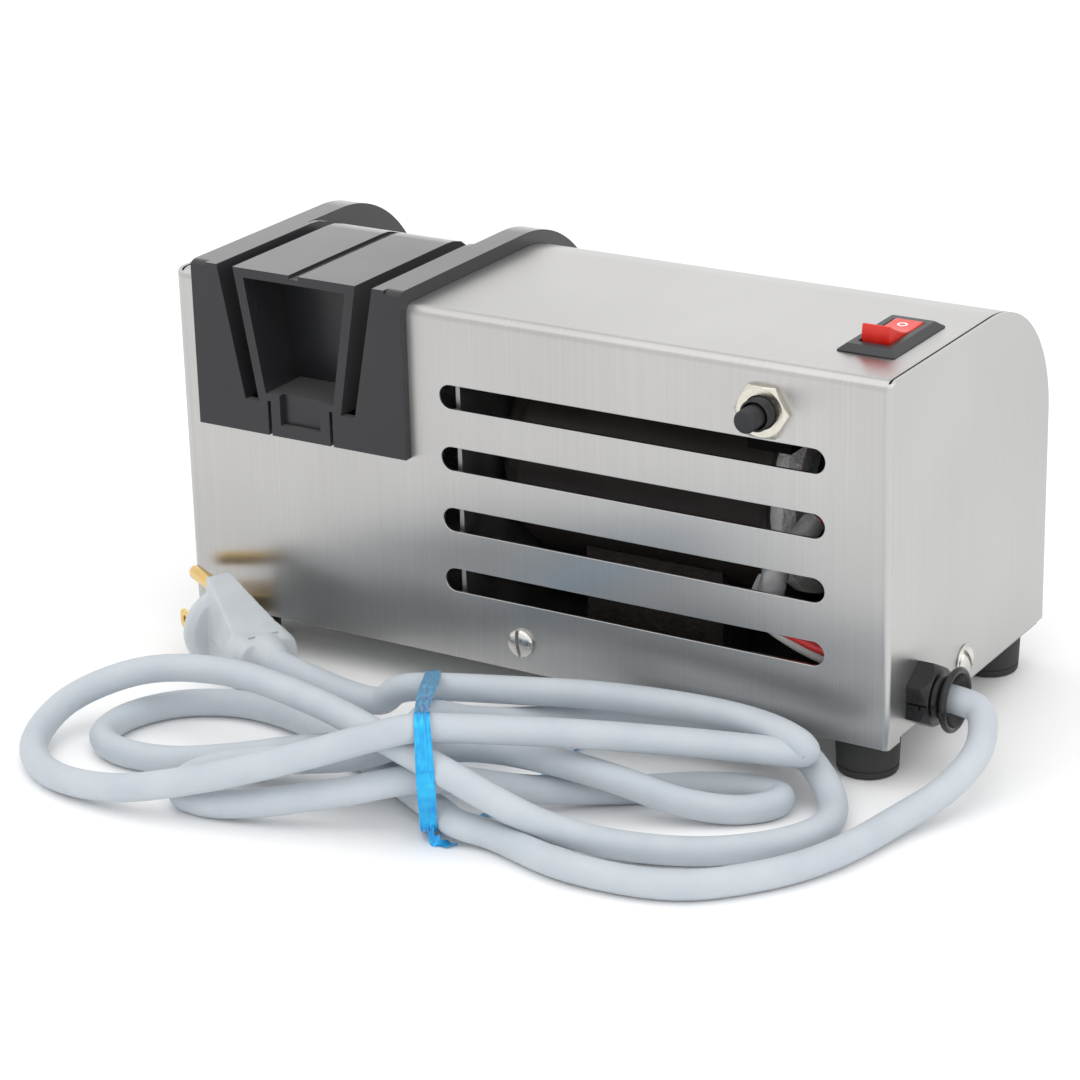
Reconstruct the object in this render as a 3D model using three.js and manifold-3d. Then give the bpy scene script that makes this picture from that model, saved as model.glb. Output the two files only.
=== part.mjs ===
// Electric knife sharpener: a folded steel case on four rubber feet, with a guide saddle over two
// grinding wheels, a rocker switch, a reset breaker and a mains lead tied into a hank.
// Millimetres, +Z up. Inside the group X runs from the left end, Y from the front face, Z from the floor.
import * as THREE from "three";
import { mergeVertices } from "three/addons/utils/BufferGeometryUtils.js";
import Module from "manifold-3d";

const wasm = await Module();
wasm.setup();

// Shared clearances and counts
const OVERRUN = 5; // how far a cutter runs past the face it opens
const SEAT_GAP = 0.15; // between a moulding and the sheet it sits on
const PRESS_GAP = 0.1; // radial, between pieces of one body
const RUN_GAP = 0.07; // radial, between the shaft and its bearings
const SLIP_GAP = 0.3; // between a sliding or swinging piece and its guide
const SOFT_GAP = 0.3; // between the cord and what it meets
const ROUND_SIDES = 24;
const SMALL_SIDES = 12;
const ARC_STEPS = 6;

// Case
const CASE_WIDTH = 250;
const CASE_DEPTH = 111;
const CASE_HEIGHT = 113;
const SHEET = 1.2;
const BACK_RADIUS = 42;
const FRONT_FOLD_RADIUS = 3.5;
const EDGE_FOLD_RADIUS = 1.6;
const END_SEAM = 0.4;
const RELIEF_LENGTH = 8;
const RELIEF_RISE = 1.8;

// Vent slots
const SLOT_LEFT = 97.9;
const SLOT_MARGIN = 21; // from the right end
const SLOT_RIGHT = CASE_WIDTH - SLOT_MARGIN;
const SLOT_HEIGHT = 7.5;
const SLOT_COUNT = 4;
const SLOT_PITCH = 19.9;
const LOWEST_SLOT = 26.1;

// Feet and base tray
const FOOT_HEIGHT = 13;
const FOOT_TOP_RADIUS = 9.9;
const FOOT_BOTTOM_RADIUS = 9.3;
const FOOT_EDGE = 1;
const FOOT_INSET = 12.5;
const FOOT_RECESS_RADIUS = 5.2;
const FOOT_RECESS_DEPTH = 6;
const TRAY_SHEET = 1.5;
const TRAY_FLANGE = 18;
const TRAY_CORNER = 6;

// Screws
const PAN_HEAD_RADIUS = 4.55;
const PAN_HEAD_HEIGHT = 2.5;
const PAN_EDGE = 0.9;
const PAN_SHANK_RADIUS = 2.4;
const PAN_SHANK_LENGTH = 8;
const DRIVER_SLOT_WIDTH = 1.3;
const DRIVER_SLOT_DEPTH = 1.2;
const COVER_SCREW_RISE = 9.6;
const END_SCREW_SETBACK = 51.5;
const FOOT_SCREW_LENGTH = 11;
const FOOT_HEAD_RADIUS = 4;
const SMALL_HEAD_RADIUS = 3.2;
const SMALL_HEAD_HEIGHT = 2;
const SMALL_SHANK_RADIUS = 1.5;
const SMALL_SHANK_LENGTH = 4.5;

// Guide saddle
const SADDLE_CENTRE = 47.5;
const SADDLE_HALF = 39.3;
const SADDLE_INNER_HALF = 33.5;
const SADDLE_FRONT_PROUD = 3;
const SADDLE_TOP_PROUD = 4.5;
const SADDLE_DROP = 49.2; // these drops are from the top of the case
const SADDLE_BOTTOM = CASE_HEIGHT - SADDLE_DROP;
const SADDLE_WALL = 3;
const WEB_WALL = 2.5;
const WEB_REACH = 8;
const OPENING_DROP = 43;
const OPENING_SILL = CASE_HEIGHT - OPENING_DROP;
const DECK_RUN = CASE_DEPTH / 2;
const DECK_FALL = 35;
const KNIFE_SLOT_DROP = 38.5;
const KNIFE_SLOT_BOTTOM = CASE_HEIGHT - KNIFE_SLOT_DROP;
const KNIFE_SLOT_RISE = 4;
const KNIFE_SLOT_TOP = CASE_HEIGHT + KNIFE_SLOT_RISE;
const SLOT_INNER_LOW = 15.5;
const SLOT_OUTER_LOW = 20.8;
const SLOT_INNER_HIGH = 22.9;
const SLOT_OUTER_HIGH = 29.1;
const GUIDE_WALL = 2.5;
const RECESS_LOW_HALF = 12;
const RECESS_HIGH_HALF = 19.3;
const RECESS_DEPTH = 16;
const RECESS_LID = 3;
const RECESS_DROP = 35.5;
const RECESS_SILL = CASE_HEIGHT - RECESS_DROP;
const WINDOW_HALF = 7.6;
const WINDOW_DROP = 45.4;
const WINDOW_SILL = CASE_HEIGHT - WINDOW_DROP;
const TAB_HALF = 11.1;
const TAB_SLIT = 1.2;
const RECESS_FLOOR = 2.3;
const GROOVE_WIDTH = 4;
const GROOVE_DEPTH = 1.2;

// Grinding wheels and shaft
const AXIS_SETBACK = CASE_DEPTH / 2;
const AXIS_OFFSET = 0.5;
const AXIS_RISE = CASE_HEIGHT / 2 + AXIS_OFFSET;
const WHEEL_RADIUS = 30;
const WHEEL_SPACING = 8;
const WHEEL_RIM_REACH = 17.4;
const WHEEL_DISH = 3.6;
const WHEEL_HUB_RADIUS = 10;
const WHEEL_EDGE = 1;
const SPACER_RADIUS = 9;
const SHAFT_RADIUS = 4;
const SHAFT_COLLAR_RADIUS = 7;
const SHAFT_TIP = 22;
const WHEEL_NUT_FLATS = 13;
const WHEEL_NUT_THICKNESS = 6;
const WHEEL_CLEARANCE = 2;

// Motor
const BULKHEAD_AT = 103;
const MOTOR_STANDOFF = 9; // from the bulkhead
const MOTOR_FRONT = BULKHEAD_AT + MOTOR_STANDOFF;
const MOTOR_MARGIN = 50; // from the right end
const MOTOR_REAR = CASE_WIDTH - MOTOR_MARGIN;
const MOTOR_RADIUS = 36;
const MOTOR_WALL = 9;
const ROTOR_RADIUS = 26;
const ROTOR_MARGIN = 14;
const ROTOR_FRONT = MOTOR_FRONT + ROTOR_MARGIN;
const ROTOR_REAR = MOTOR_REAR - ROTOR_MARGIN;
const BELL_RADIUS = 34;
const BELL_THICKNESS = 7;
const BELL_LIP = 1.5;
const BEARING_RADIUS = 11;
const BEARING_WIDTH = 7;
const FAN_STANDOFF = 9.5;
const FAN_WIDTH = 9.5;
const FAN_FRONT = MOTOR_REAR + FAN_STANDOFF;
const FAN_REAR = FAN_FRONT + FAN_WIDTH;
const SHAFT_REACH = 3; // past the fan
const SHAFT_END = FAN_REAR + SHAFT_REACH;
const FAN_RADIUS = 29;
const FAN_HUB_RADIUS = 9;
const FAN_DISC = 1.6;
const FAN_BLADES = 8;
const FAN_BLADE_THICKNESS = 1.6;
const CRADLE_MARGIN = 20;
const CRADLE_FRONT = MOTOR_FRONT + CRADLE_MARGIN;
const CRADLE_REAR = MOTOR_REAR - CRADLE_MARGIN;
const CRADLE_HALF = 27;
const CRADLE_FOOT = 8;
const CRADLE_FOOT_THICKNESS = 3;
const BULKHEAD_SHEET = 1.5;
const BULKHEAD_MARGIN = 2.5;
const BULKHEAD_BORE = 16;
const BULKHEAD_FLANGE = 9;

// Rocker switch
const SWITCH_MARGIN = 18.3;
const SWITCH_CENTRE = CASE_WIDTH - SWITCH_MARGIN;
const SWITCH_SETBACK = 36.75;
const BEZEL_WIDTH = 18.6;
const BEZEL_LENGTH = 34.5;
const BEZEL_THICKNESS = 2;
const BEZEL_CHAMFER = 1;
const SWITCH_WIDTH = 15.8;
const SWITCH_LENGTH = 31;
const SWITCH_DEPTH = 23;
const ROCKER_WIDTH = 12.4;
const ROCKER_LENGTH = 26.8;
const ROCKER_END_RISE = 4.4;
const ROCKER_MID_RISE = 2;
const ROCKER_SHOULDER = 1;
const ROCKER_KEEL = 4.2;
const ROCKER_KEEL_LENGTH = 17;
const ROCKER_TILT = 12;
const ROCKER_WELL = 11;
const ROCKER_PIN_RADIUS = 1.5;
const ROCKER_PIN_REACH = 0.9;
const TERMINAL_WIDTH = 6.3;
const TERMINAL_THICKNESS = 0.8;
const TERMINAL_LENGTH = 8;
const TERMINAL_SPREAD = 9;

// Reset breaker
const BREAKER_MARGIN = 40.8;
const BREAKER_CENTRE = CASE_WIDTH - BREAKER_MARGIN;
const BREAKER_DROP = 14.4;
const BREAKER_RISE = CASE_HEIGHT - BREAKER_DROP;
const BREAKER_WIDTH = 14.4;
const BREAKER_LENGTH = 30;
const BREAKER_ABOVE = 11.5;
const BREAKER_BELOW = 13.6;
const BREAKER_SETBACK = 3;
const COLLAR_RADIUS = 4.9;
const COLLAR_REACH = 6;
const BREAKER_NUT_FLATS = 15.6;
const BREAKER_NUT_THICKNESS = 2.2;
const BUTTON_RADIUS = 4.05;
const BUTTON_REACH = 11.5;
const BUTTON_TRAVEL = 2.3;
const BUTTON_EDGE = 0.8;
const BUTTON_TAIL = 5;
const BREAKER_TERMINAL_SPREAD = 7;
const BREAKER_TERMINAL_DROP = 2;

// Strain relief
const RELIEF_SETBACK = 20.5;
const GLAND_RISE = 11;
const GLAND_HEX_FLATS = 17.8;
const GLAND_HEX_LENGTH = 7;
const GLAND_SHANK_RADIUS = 7.6;
const GLAND_SHANK_LENGTH = 8;
const GLAND_NECK_RADIUS = 6.4;
const GLAND_NECK_LENGTH = 2.4;
const GLAND_RING_RADIUS = 10;
const GLAND_RING_WIDTH = 3.4;
const GLAND_SEAT = 2;

// Mains lead
const CORD_DIAMETER = 8.6;
const CORD_RADIUS = CORD_DIAMETER / 2;
const CORD_SIDES = 8;
const HANK_SIDES = 6;
const HALF_TURN_STEPS = 12;
const STRAIGHT_END = CORD_DIAMETER;
// centre of the waist on the floor, and the way the loops lie from it
const HANK_X = 144.1;
const HANK_Y = -83;
const HANK_TURN = 31.37;
// the seven passes through the tie: along the waist, and the cord's underside above the floor
const HANK_PASSES = [
  [3.5, 1.3],
  [23.6, 9.6],
  [-2.7, 12],
  [23.6, 20],
  [-8.9, 20.4],
  [-6.3, 29.6],
  [52.7, 16.7],
];
// the six half turns: side, reach, tip, belly, drift, lift, tilt, rise, flat, skew
const HANK_HALF_TURNS = [
  [-1, 92.3, 63, 27.6, 17.7, -16.3, -2.9, 0.8, -8.5, 0.7],
  [1, 97, -8.2, -12.8, 1.7, -23.1, 11.1, -1.6, -2.4, -12.6],
  [-1, 62.7, 10.3, 3.5, -3.3, -15.3, -3.3, -4.3, -0.1, 21.2],
  [1, 104, 10.8, 28.8, -2.4, -25.8, 9.9, -13.5, -4.2, -26],
  [-1, 102.5, 61.9, 39.6, 20.6, -22.6, -0.6, 3.3, -11.8, 27.6],
  [1, 117.7, -13, 6.7, 1.3, -11.4, -5.3, -2.6, 9.4, 4.2],
];
// hand-chosen points of the lead from the strain relief to the tie: x, y, height of the axis
const LEAD_POINTS = [
  [270, 19.5, 22.5],
  [274.5, 10, 16],
  [272, -6, 9.2],
  [265.5, -24, 5.4],
  [258, -53, 4.5],
  [247.5, -72, 4.4],
  [229, -89, 4.4],
  [198, -94, 4.6],
  [168, -87, 4.6],
];
// and of the tail from the tie to the plug
const TAIL_POINTS = [
  [106.6, -39, 10.3],
  [92, -37.5, 10.5],
  [78, -38, 12],
];

// Plug
const PLUG_X = 20.7;
const PLUG_Y = -15.2;
const PLUG_RISE = 16.2;
const PLUG_HEADING = 29;
const PLUG_FACE_RADIUS = 16.2;
const PLUG_FACE_THICKNESS = 6;
const PLUG_FACE_EDGE = 1.5;
const PLUG_WAIST_HALF = 7.2;
const PLUG_WAIST_HEIGHT = 21;
const PLUG_RIDGE_HALF = 6.2;
const PLUG_RIDGE_RISE = 15.2;
const PLUG_CAP_HALF = 11.2;
const PLUG_CAP_HEIGHT = 20;
const PLUG_CAP_LENGTH = 11;
const PLUG_LENGTH = 37;
const PLUG_CORNER = 3.5;
const PLUG_SEAT = 1.5;
const BLADE_SPACING = 12.7;
const BLADE_WIDTH = 6.35;
const BLADE_THICKNESS = 1.5;
const BLADE_LENGTH = 16;
const BLADE_HOLE_RADIUS = 1.6;
const BLADE_HOLE_SETBACK = 3.6;
const BLADE_DROP = 4.6;
const PIN_OFFSET = 11.9;
const PIN_RADIUS = 2.4;
const PIN_LENGTH = 17.5;
const PIN_TIP = 1.2;

// Twist tie
const TIE_WIDTH = 5.6;
const TIE_THICKNESS = 0.6;
const TIE_GAP = 0.35;

// Internal wires
const WIRE_RADIUS = 1.65;
const WIRE_SIDES = 6;
// hand-chosen points of the wires between their ends: back from the right end, y, and the height
// above the floor for the low points or above the top of the case for the high ones
const WIRE_ROUTES = {
  red: {
    low: [[-16, 11, 33], [-32, 8, 39], [-44, 9, 44], [-42, 12, 60]],
    high: [[-27.5, 22, -46], [-27.5, 38, -26], [-34, 47, -18], [-37.3, 46, -16.4]],
  },
  black: {
    low: [],
    high: [[-44.3, 46, -17], [-39, 51, -22], [-27.5, 45, -28], [-20, 36, -39], [-18.3, 32.3, -37]],
  },
  white: { low: [[-24, 15, 30], [-44, 14, 37], [-53, 17, 41]], high: [] },
  green: { low: [[-16, 33, 22], [-23, 43, 17.5]], high: [] },
};
const WIRE_CAN_MARGIN = 55;
const WIRE_CAN_POINT = [CASE_WIDTH - WIRE_CAN_MARGIN, 22.3, 45];

// Materials
const finish = (color, roughness, metalness) =>
  new THREE.MeshStandardMaterial({ color, roughness, metalness });
const FINISHES = {
  stainless: finish(0xc4c3c0, 0.34, 1),
  galvanised: finish(0xa9abac, 0.5, 1),
  screwSteel: finish(0xd0cfcc, 0.25, 1),
  nickel: finish(0xc9c6bd, 0.2, 1),
  brass: finish(0xd3b569, 0.28, 1),
  saddlePlastic: finish(0x26272b, 0.45, 0),
  blackPlastic: finish(0x17181a, 0.38, 0),
  redPlastic: finish(0xc4161c, 0.3, 0),
  footRubber: finish(0x1c1c1d, 0.75, 0),
  motorBlack: finish(0x1d1d1f, 0.5, 0.2),
  castGrey: finish(0x8d9093, 0.55, 0.8),
  abrasive: finish(0x8b8f96, 0.95, 0),
  cordGrey: finish(0xaab4bf, 0.42, 0),
  tieBlue: finish(0x1e9be0, 0.3, 0.4),
  wireRed: finish(0xb3202a, 0.4, 0),
  wireWhite: finish(0xe4e2dc, 0.4, 0),
  wireBlack: finish(0x1a1a1c, 0.4, 0),
  wireGreen: finish(0x2f7d3a, 0.4, 0),
};

const radians = THREE.MathUtils.degToRad;
const AXES = {
  x: new THREE.Vector3(1, 0, 0),
  y: new THREE.Vector3(0, 1, 0),
  z: new THREE.Vector3(0, 0, 1),
};

// Turn a closed geometry into a solid that can be joined and cut.
function toSolid(geometry) {
  const bare = geometry.index ? geometry.toNonIndexed() : geometry.clone();
  bare.deleteAttribute("normal");
  bare.deleteAttribute("uv");
  const merged = mergeVertices(bare);
  const corners = merged.index.array;
  const triVerts = [];
  for (let i = 0; i < corners.length; i += 3) {
    const [a, b, c] = [corners[i], corners[i + 1], corners[i + 2]];
    if (a !== b && b !== c && c !== a) triVerts.push(a, b, c);
  }
  const vertProperties = merged.attributes.position.array;
  const mesh = new wasm.Mesh({ numProp: 3, vertProperties, triVerts: new Uint32Array(triVerts) });
  return new wasm.Manifold(mesh);
}

// Turn a solid back into a geometry.
function toGeometry(solid) {
  const mesh = solid.getMesh();
  const geometry = new THREE.BufferGeometry();
  geometry.setAttribute("position", new THREE.BufferAttribute(mesh.vertProperties, 3));
  geometry.setIndex(new THREE.BufferAttribute(mesh.triVerts, 1));
  const flat = geometry.toNonIndexed();
  flat.computeVertexNormals();
  return flat;
}

// A box between two corners.
function block([x0, y0, z0], [x1, y1, z1]) {
  const geometry = new THREE.BoxGeometry(x1 - x0, y1 - y0, z1 - z0);
  return toSolid(geometry.translate((x0 + x1) / 2, (y0 + y1) / 2, (z0 + z1) / 2));
}

// An outline pushed along an axis: drawn in (y, z) for x, in (x, z) for y and in (x, y) for z.
function prism(axis, outline, from, to) {
  const depth = to - from;
  const geometry = new THREE.ExtrudeGeometry(outline, {
    depth,
    bevelEnabled: false,
    curveSegments: ARC_STEPS,
  });
  const { x, y, z } = AXES;
  const basis = { x: [y, z, x], y: [x, z, y.clone().negate()], z: [x, y, z] }[axis];
  geometry.applyMatrix4(new THREE.Matrix4().makeBasis(...basis));
  const start = { x: [from, 0, 0], y: [0, to, 0], z: [0, 0, from] }[axis];
  return toSolid(geometry.translate(...start));
}

// A straight-sided outline.
function polygon(points) {
  return new THREE.Shape(points.map(([u, v]) => new THREE.Vector2(u, v)));
}

// A rectangle with round corners about a centre.
function roundedRectangle(width, height, radius, [u, v] = [0, 0]) {
  const shape = new THREE.Shape();
  const [w, h] = [width / 2 - radius, height / 2 - radius];
  shape.absarc(u + w, v - h, radius, -Math.PI / 2, 0);
  shape.absarc(u + w, v + h, radius, 0, Math.PI / 2);
  shape.absarc(u - w, v + h, radius, Math.PI / 2, Math.PI);
  shape.absarc(u - w, v - h, radius, Math.PI, Math.PI * 1.5);
  return shape;
}

// A regular outline round a centre, with a corner or a flat on top.
function regular(sides, radius, [u, v], turn = 0) {
  const corners = Array.from({ length: sides }, (_, i) => {
    const angle = turn + (i * 2 * Math.PI) / sides;
    return [u + radius * Math.cos(angle), v + radius * Math.sin(angle)];
  });
  return polygon(corners);
}

// A profile of [radius, distance along the axis] revolved about an axis through a point.
function turned(axis, profile, at, sides = ROUND_SIDES) {
  const area = profile.reduce((sum, [r, h], i) => {
    const [nextR, nextH] = profile[(i + 1) % profile.length];
    return sum + r * nextH - nextR * h;
  }, 0);
  const ordered = area > 0 ? profile : [...profile].reverse();
  const points = ordered.map(([r, h]) => new THREE.Vector2(r, h));
  const onAxis = ordered[0][0] === 0 && ordered[ordered.length - 1][0] === 0;
  if (!onAxis) points.push(points[0].clone());
  const geometry = new THREE.LatheGeometry(points, sides);
  const { x, y, z } = AXES;
  const minusZ = z.clone().negate();
  const basis = { x: [y, x, minusZ], y: [x, y, z], z: [x, z, y.clone().negate()] }[axis];
  geometry.applyMatrix4(new THREE.Matrix4().makeBasis(...basis));
  return toSolid(geometry.translate(...at));
}

// A plain rod or bore along an axis, starting at a point.
function rod(axis, radius, length, at, sides = ROUND_SIDES) {
  const profile = [[0, 0], [radius, 0], [radius, length], [0, length]];
  return turned(axis, profile, at, sides);
}

// A ring along an axis, starting at a point.
function ring(axis, inner, outer, length, at, sides = ROUND_SIDES) {
  const profile = [[inner, 0], [outer, 0], [outer, length], [inner, length]];
  return turned(axis, profile, at, sides);
}

// A smooth line through points, one ring of the tube at each knot or part of a knot.
class KnotCurve extends THREE.CatmullRomCurve3 {
  constructor(points) {
    super(points, false, "centripetal");
  }
  getUtoTmapping(u) {
    return u;
  }
}

// A round tube along a smooth line.
function tube(points, radius, sides, stepsEach = 1) {
  const knots = points.map((p) => (p.isVector3 ? p : new THREE.Vector3(...p)));
  return new THREE.ExtrudeGeometry(regular(sides, radius, [0, 0]), {
    steps: (knots.length - 1) * stepsEach,
    extrudePath: new KnotCurve(knots),
    bevelEnabled: false,
  });
}

const sum = (solids) => solids.reduce((a, b) => a.add(b));
const cut = (solid, cutters) => cutters.reduce((a, b) => a.subtract(b), solid);

const sharpener = new THREE.Group();
sharpener.name = "electric_knife_sharpener";

// Put a named piece in a group.
function piece(name, shape, material, group = sharpener, at = [0, 0, 0]) {
  const geometry = shape.isBufferGeometry ? shape : toGeometry(shape);
  const mesh = new THREE.Mesh(geometry, material);
  mesh.name = name;
  mesh.position.set(...at);
  group.add(mesh);
  return mesh;
}

// Levels that several pieces share
const caseBottom = FOOT_HEIGHT;
const caseTop = caseBottom + CASE_HEIGHT;
const floorTop = caseBottom + TRAY_SHEET;
const axisAt = [0, AXIS_SETBACK, caseBottom + AXIS_RISE];
const along = (x) => [x, axisAt[1], axisAt[2]];
const breakerAt = [BREAKER_CENTRE, 0, caseBottom + BREAKER_RISE];
const glandAt = [CASE_WIDTH, RELIEF_SETBACK, caseBottom + GLAND_RISE];
const switchAt = [SWITCH_CENTRE, SWITCH_SETBACK, caseTop];
const screwAt = {
  front: [CASE_WIDTH / 2, 0, caseBottom + COVER_SCREW_RISE],
  back: [CASE_WIDTH / 2, CASE_DEPTH, caseBottom + COVER_SCREW_RISE],
  left: [0, END_SCREW_SETBACK, caseBottom + COVER_SCREW_RISE],
  right: [CASE_WIDTH, END_SCREW_SETBACK, caseBottom + COVER_SCREW_RISE],
};
const footAt = [];
for (const y of [FOOT_INSET, CASE_DEPTH - FOOT_INSET]) {
  for (const x of [FOOT_INSET, CASE_WIDTH - FOOT_INSET]) footAt.push([x, y]);
}

const cradleMiddle = (CRADLE_FRONT + CRADLE_REAR) / 2;
const cradleScrewAt = [-1, 1].map((side) => [
  cradleMiddle,
  AXIS_SETBACK + side * (CRADLE_HALF + CRADLE_FOOT / 2),
]);
const groundAt = [CASE_WIDTH - FOOT_INSET * 2, CASE_DEPTH / 2, floorTop];

// The side outline of the case moved outwards by an offset, closed at a level below.
function caseSide(offset, bottom = caseBottom, foldRadius = FRONT_FOLD_RADIUS) {
  const shape = new THREE.Shape();
  const fold = Math.max(foldRadius + offset, SHEET / 2);
  const arc = BACK_RADIUS + offset;
  const arcY = CASE_DEPTH - BACK_RADIUS;
  const arcZ = caseTop - BACK_RADIUS;
  shape.moveTo(-offset, bottom);
  shape.lineTo(CASE_DEPTH + offset, bottom);
  shape.lineTo(CASE_DEPTH + offset, arcZ);
  shape.absarc(arcY, arcZ, arc, 0, Math.PI / 2);
  shape.lineTo(fold - offset, caseTop + offset);
  shape.absarc(fold - offset, caseTop + offset - fold, fold, Math.PI / 2, Math.PI);
  return shape;
}

// Case cover: one sheet folded down the front edges into the ends and over the top into the back.
function housingCover() {
  const plan = roundedRectangle(
    CASE_WIDTH,
    CASE_DEPTH + 2 * BACK_RADIUS,
    EDGE_FOLD_RADIUS,
    [CASE_WIDTH / 2, CASE_DEPTH / 2 + BACK_RADIUS],
  );
  const full = prism("z", plan, caseBottom, caseTop + OVERRUN);
  const hollow = block([SHEET, SHEET, 0], [CASE_WIDTH - SHEET, CASE_DEPTH * 2, caseTop * 2]);
  const ends = full.subtract(hollow).intersect(prism("x", caseSide(0), 0, CASE_WIDTH));
  const wrapLeft = SHEET + END_SEAM;
  const wrapRight = CASE_WIDTH - SHEET - END_SEAM;
  const inside = prism("x", caseSide(-SHEET, caseBottom - OVERRUN), 0, CASE_WIDTH);
  const wrap = prism("x", caseSide(0), wrapLeft, wrapRight).subtract(inside);
  const slot = (level) => {
    const middle = (SLOT_LEFT + SLOT_RIGHT) / 2;
    const centre = [middle, caseBottom + level];
    const outline = roundedRectangle(SLOT_RIGHT - SLOT_LEFT, SLOT_HEIGHT, SLOT_HEIGHT / 2, centre);
    return prism("y", outline, -OVERRUN, SHEET + OVERRUN);
  };
  const slots = Array.from({ length: SLOT_COUNT }, (_, i) => slot(LOWEST_SLOT + i * SLOT_PITCH));
  const openingHalf = SADDLE_INNER_HALF + SLIP_GAP;
  const sill = caseBottom + OPENING_SILL;
  const saddleOpening = block(
    [SADDLE_CENTRE - openingHalf, -OVERRUN, sill],
    [SADDLE_CENTRE + openingHalf, CASE_DEPTH + OVERRUN, caseTop + OVERRUN],
  );
  const switchHole = block(
    [switchAt[0] - SWITCH_WIDTH / 2 - PRESS_GAP, switchAt[1] - SWITCH_LENGTH / 2 - PRESS_GAP, caseTop - OVERRUN],
    [switchAt[0] + SWITCH_WIDTH / 2 + PRESS_GAP, switchAt[1] + SWITCH_LENGTH / 2 + PRESS_GAP, caseTop + OVERRUN],
  );
  const holeRadius = PAN_SHANK_RADIUS + SEAT_GAP;
  const hole = (axis, radius, [x, y, z]) => {
    const start = axis === "x" ? [x - OVERRUN, y, z] : [x, y - OVERRUN, z];
    return rod(axis, radius, 2 * OVERRUN, start);
  };
  const relief = (x) =>
    block(
      [x - SHEET, RELIEF_LENGTH, caseBottom - OVERRUN],
      [x + SHEET, CASE_DEPTH + OVERRUN, caseBottom + RELIEF_RISE],
    );
  return cut(ends.add(wrap), [
    ...slots,
    saddleOpening,
    switchHole,
    hole("y", COLLAR_RADIUS + SEAT_GAP, breakerAt),
    hole("y", holeRadius, screwAt.front),
    hole("y", holeRadius, screwAt.back),
    hole("x", holeRadius, screwAt.left),
    hole("x", holeRadius, screwAt.right),
    rod("x", GLAND_SHANK_RADIUS + SEAT_GAP, 2 * OVERRUN, [glandAt[0] - OVERRUN, glandAt[1], glandAt[2]]),
    relief(0),
    relief(CASE_WIDTH),
  ]);
}
piece("housing_cover", housingCover(), FINISHES.stainless);

// Base tray: a sheet with four upright flanges behind the cover's lower edge.
function basePlate() {
  const edge = SHEET + SEAT_GAP;
  const outer = block([edge, edge, caseBottom], [CASE_WIDTH - edge, CASE_DEPTH - edge, caseBottom + TRAY_FLANGE]);
  const inner = edge + TRAY_SHEET;
  const room = block(
    [inner, inner, floorTop],
    [CASE_WIDTH - inner, CASE_DEPTH - inner, caseBottom + TRAY_FLANGE + OVERRUN],
  );
  const corner = (x, y) =>
    block(
      [x - TRAY_CORNER, y - TRAY_CORNER, floorTop],
      [x + TRAY_CORNER, y + TRAY_CORNER, caseBottom + TRAY_FLANGE + OVERRUN],
    );
  const corners = [0, CASE_WIDTH].flatMap((x) => [0, CASE_DEPTH].map((y) => corner(x, y)));
  const tapped = PAN_SHANK_RADIUS + PRESS_GAP;
  const bore = (axis, radius, [x, y, z]) => {
    const start = axis === "x" ? [x - OVERRUN, y, z] : [x, y - OVERRUN, z];
    return rod(axis, radius, 2 * OVERRUN, start, SMALL_SIDES);
  };
  const footBores = footAt.map(([x, y]) =>
    rod("z", SMALL_SHANK_RADIUS + PRESS_GAP, 2 * OVERRUN, [x, y, caseBottom - OVERRUN], SMALL_SIDES),
  );
  const cradleBores = cradleScrewAt.map(([x, y]) =>
    rod("z", SMALL_SHANK_RADIUS + PRESS_GAP, 2 * OVERRUN, [x, y, caseBottom - OVERRUN], SMALL_SIDES),
  );
  return cut(outer.subtract(room), [
    ...corners,
    bore("y", tapped, screwAt.front),
    bore("y", tapped, screwAt.back),
    bore("x", tapped, screwAt.left),
    bore("x", tapped, screwAt.right),
    rod("x", GLAND_SHANK_RADIUS + SEAT_GAP, 2 * OVERRUN, [glandAt[0] - 2 * OVERRUN, glandAt[1], glandAt[2]]),
    ...footBores,
    ...cradleBores,
    rod("z", SMALL_SHANK_RADIUS + PRESS_GAP, 2 * OVERRUN, [groundAt[0], groundAt[1], caseBottom - OVERRUN], SMALL_SIDES),
  ]);
}
piece("base_plate", basePlate(), FINISHES.galvanised);

// Feet and the screws that hold them to the tray
function foot() {
  const shell = [
    [0, 0],
    [FOOT_BOTTOM_RADIUS - FOOT_EDGE, 0],
    [FOOT_BOTTOM_RADIUS, FOOT_EDGE],
    [FOOT_TOP_RADIUS, FOOT_HEIGHT - FOOT_EDGE],
    [FOOT_TOP_RADIUS - FOOT_EDGE / 2, FOOT_HEIGHT],
    [0, FOOT_HEIGHT],
  ];
  return cut(turned("z", shell, [0, 0, 0]), [
    rod("z", FOOT_RECESS_RADIUS, FOOT_RECESS_DEPTH + OVERRUN, [0, 0, -OVERRUN]),
    rod("z", SMALL_SHANK_RADIUS + PRESS_GAP, FOOT_HEIGHT, [0, 0, FOOT_RECESS_DEPTH - FOOT_EDGE], SMALL_SIDES),
  ]);
}

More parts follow.
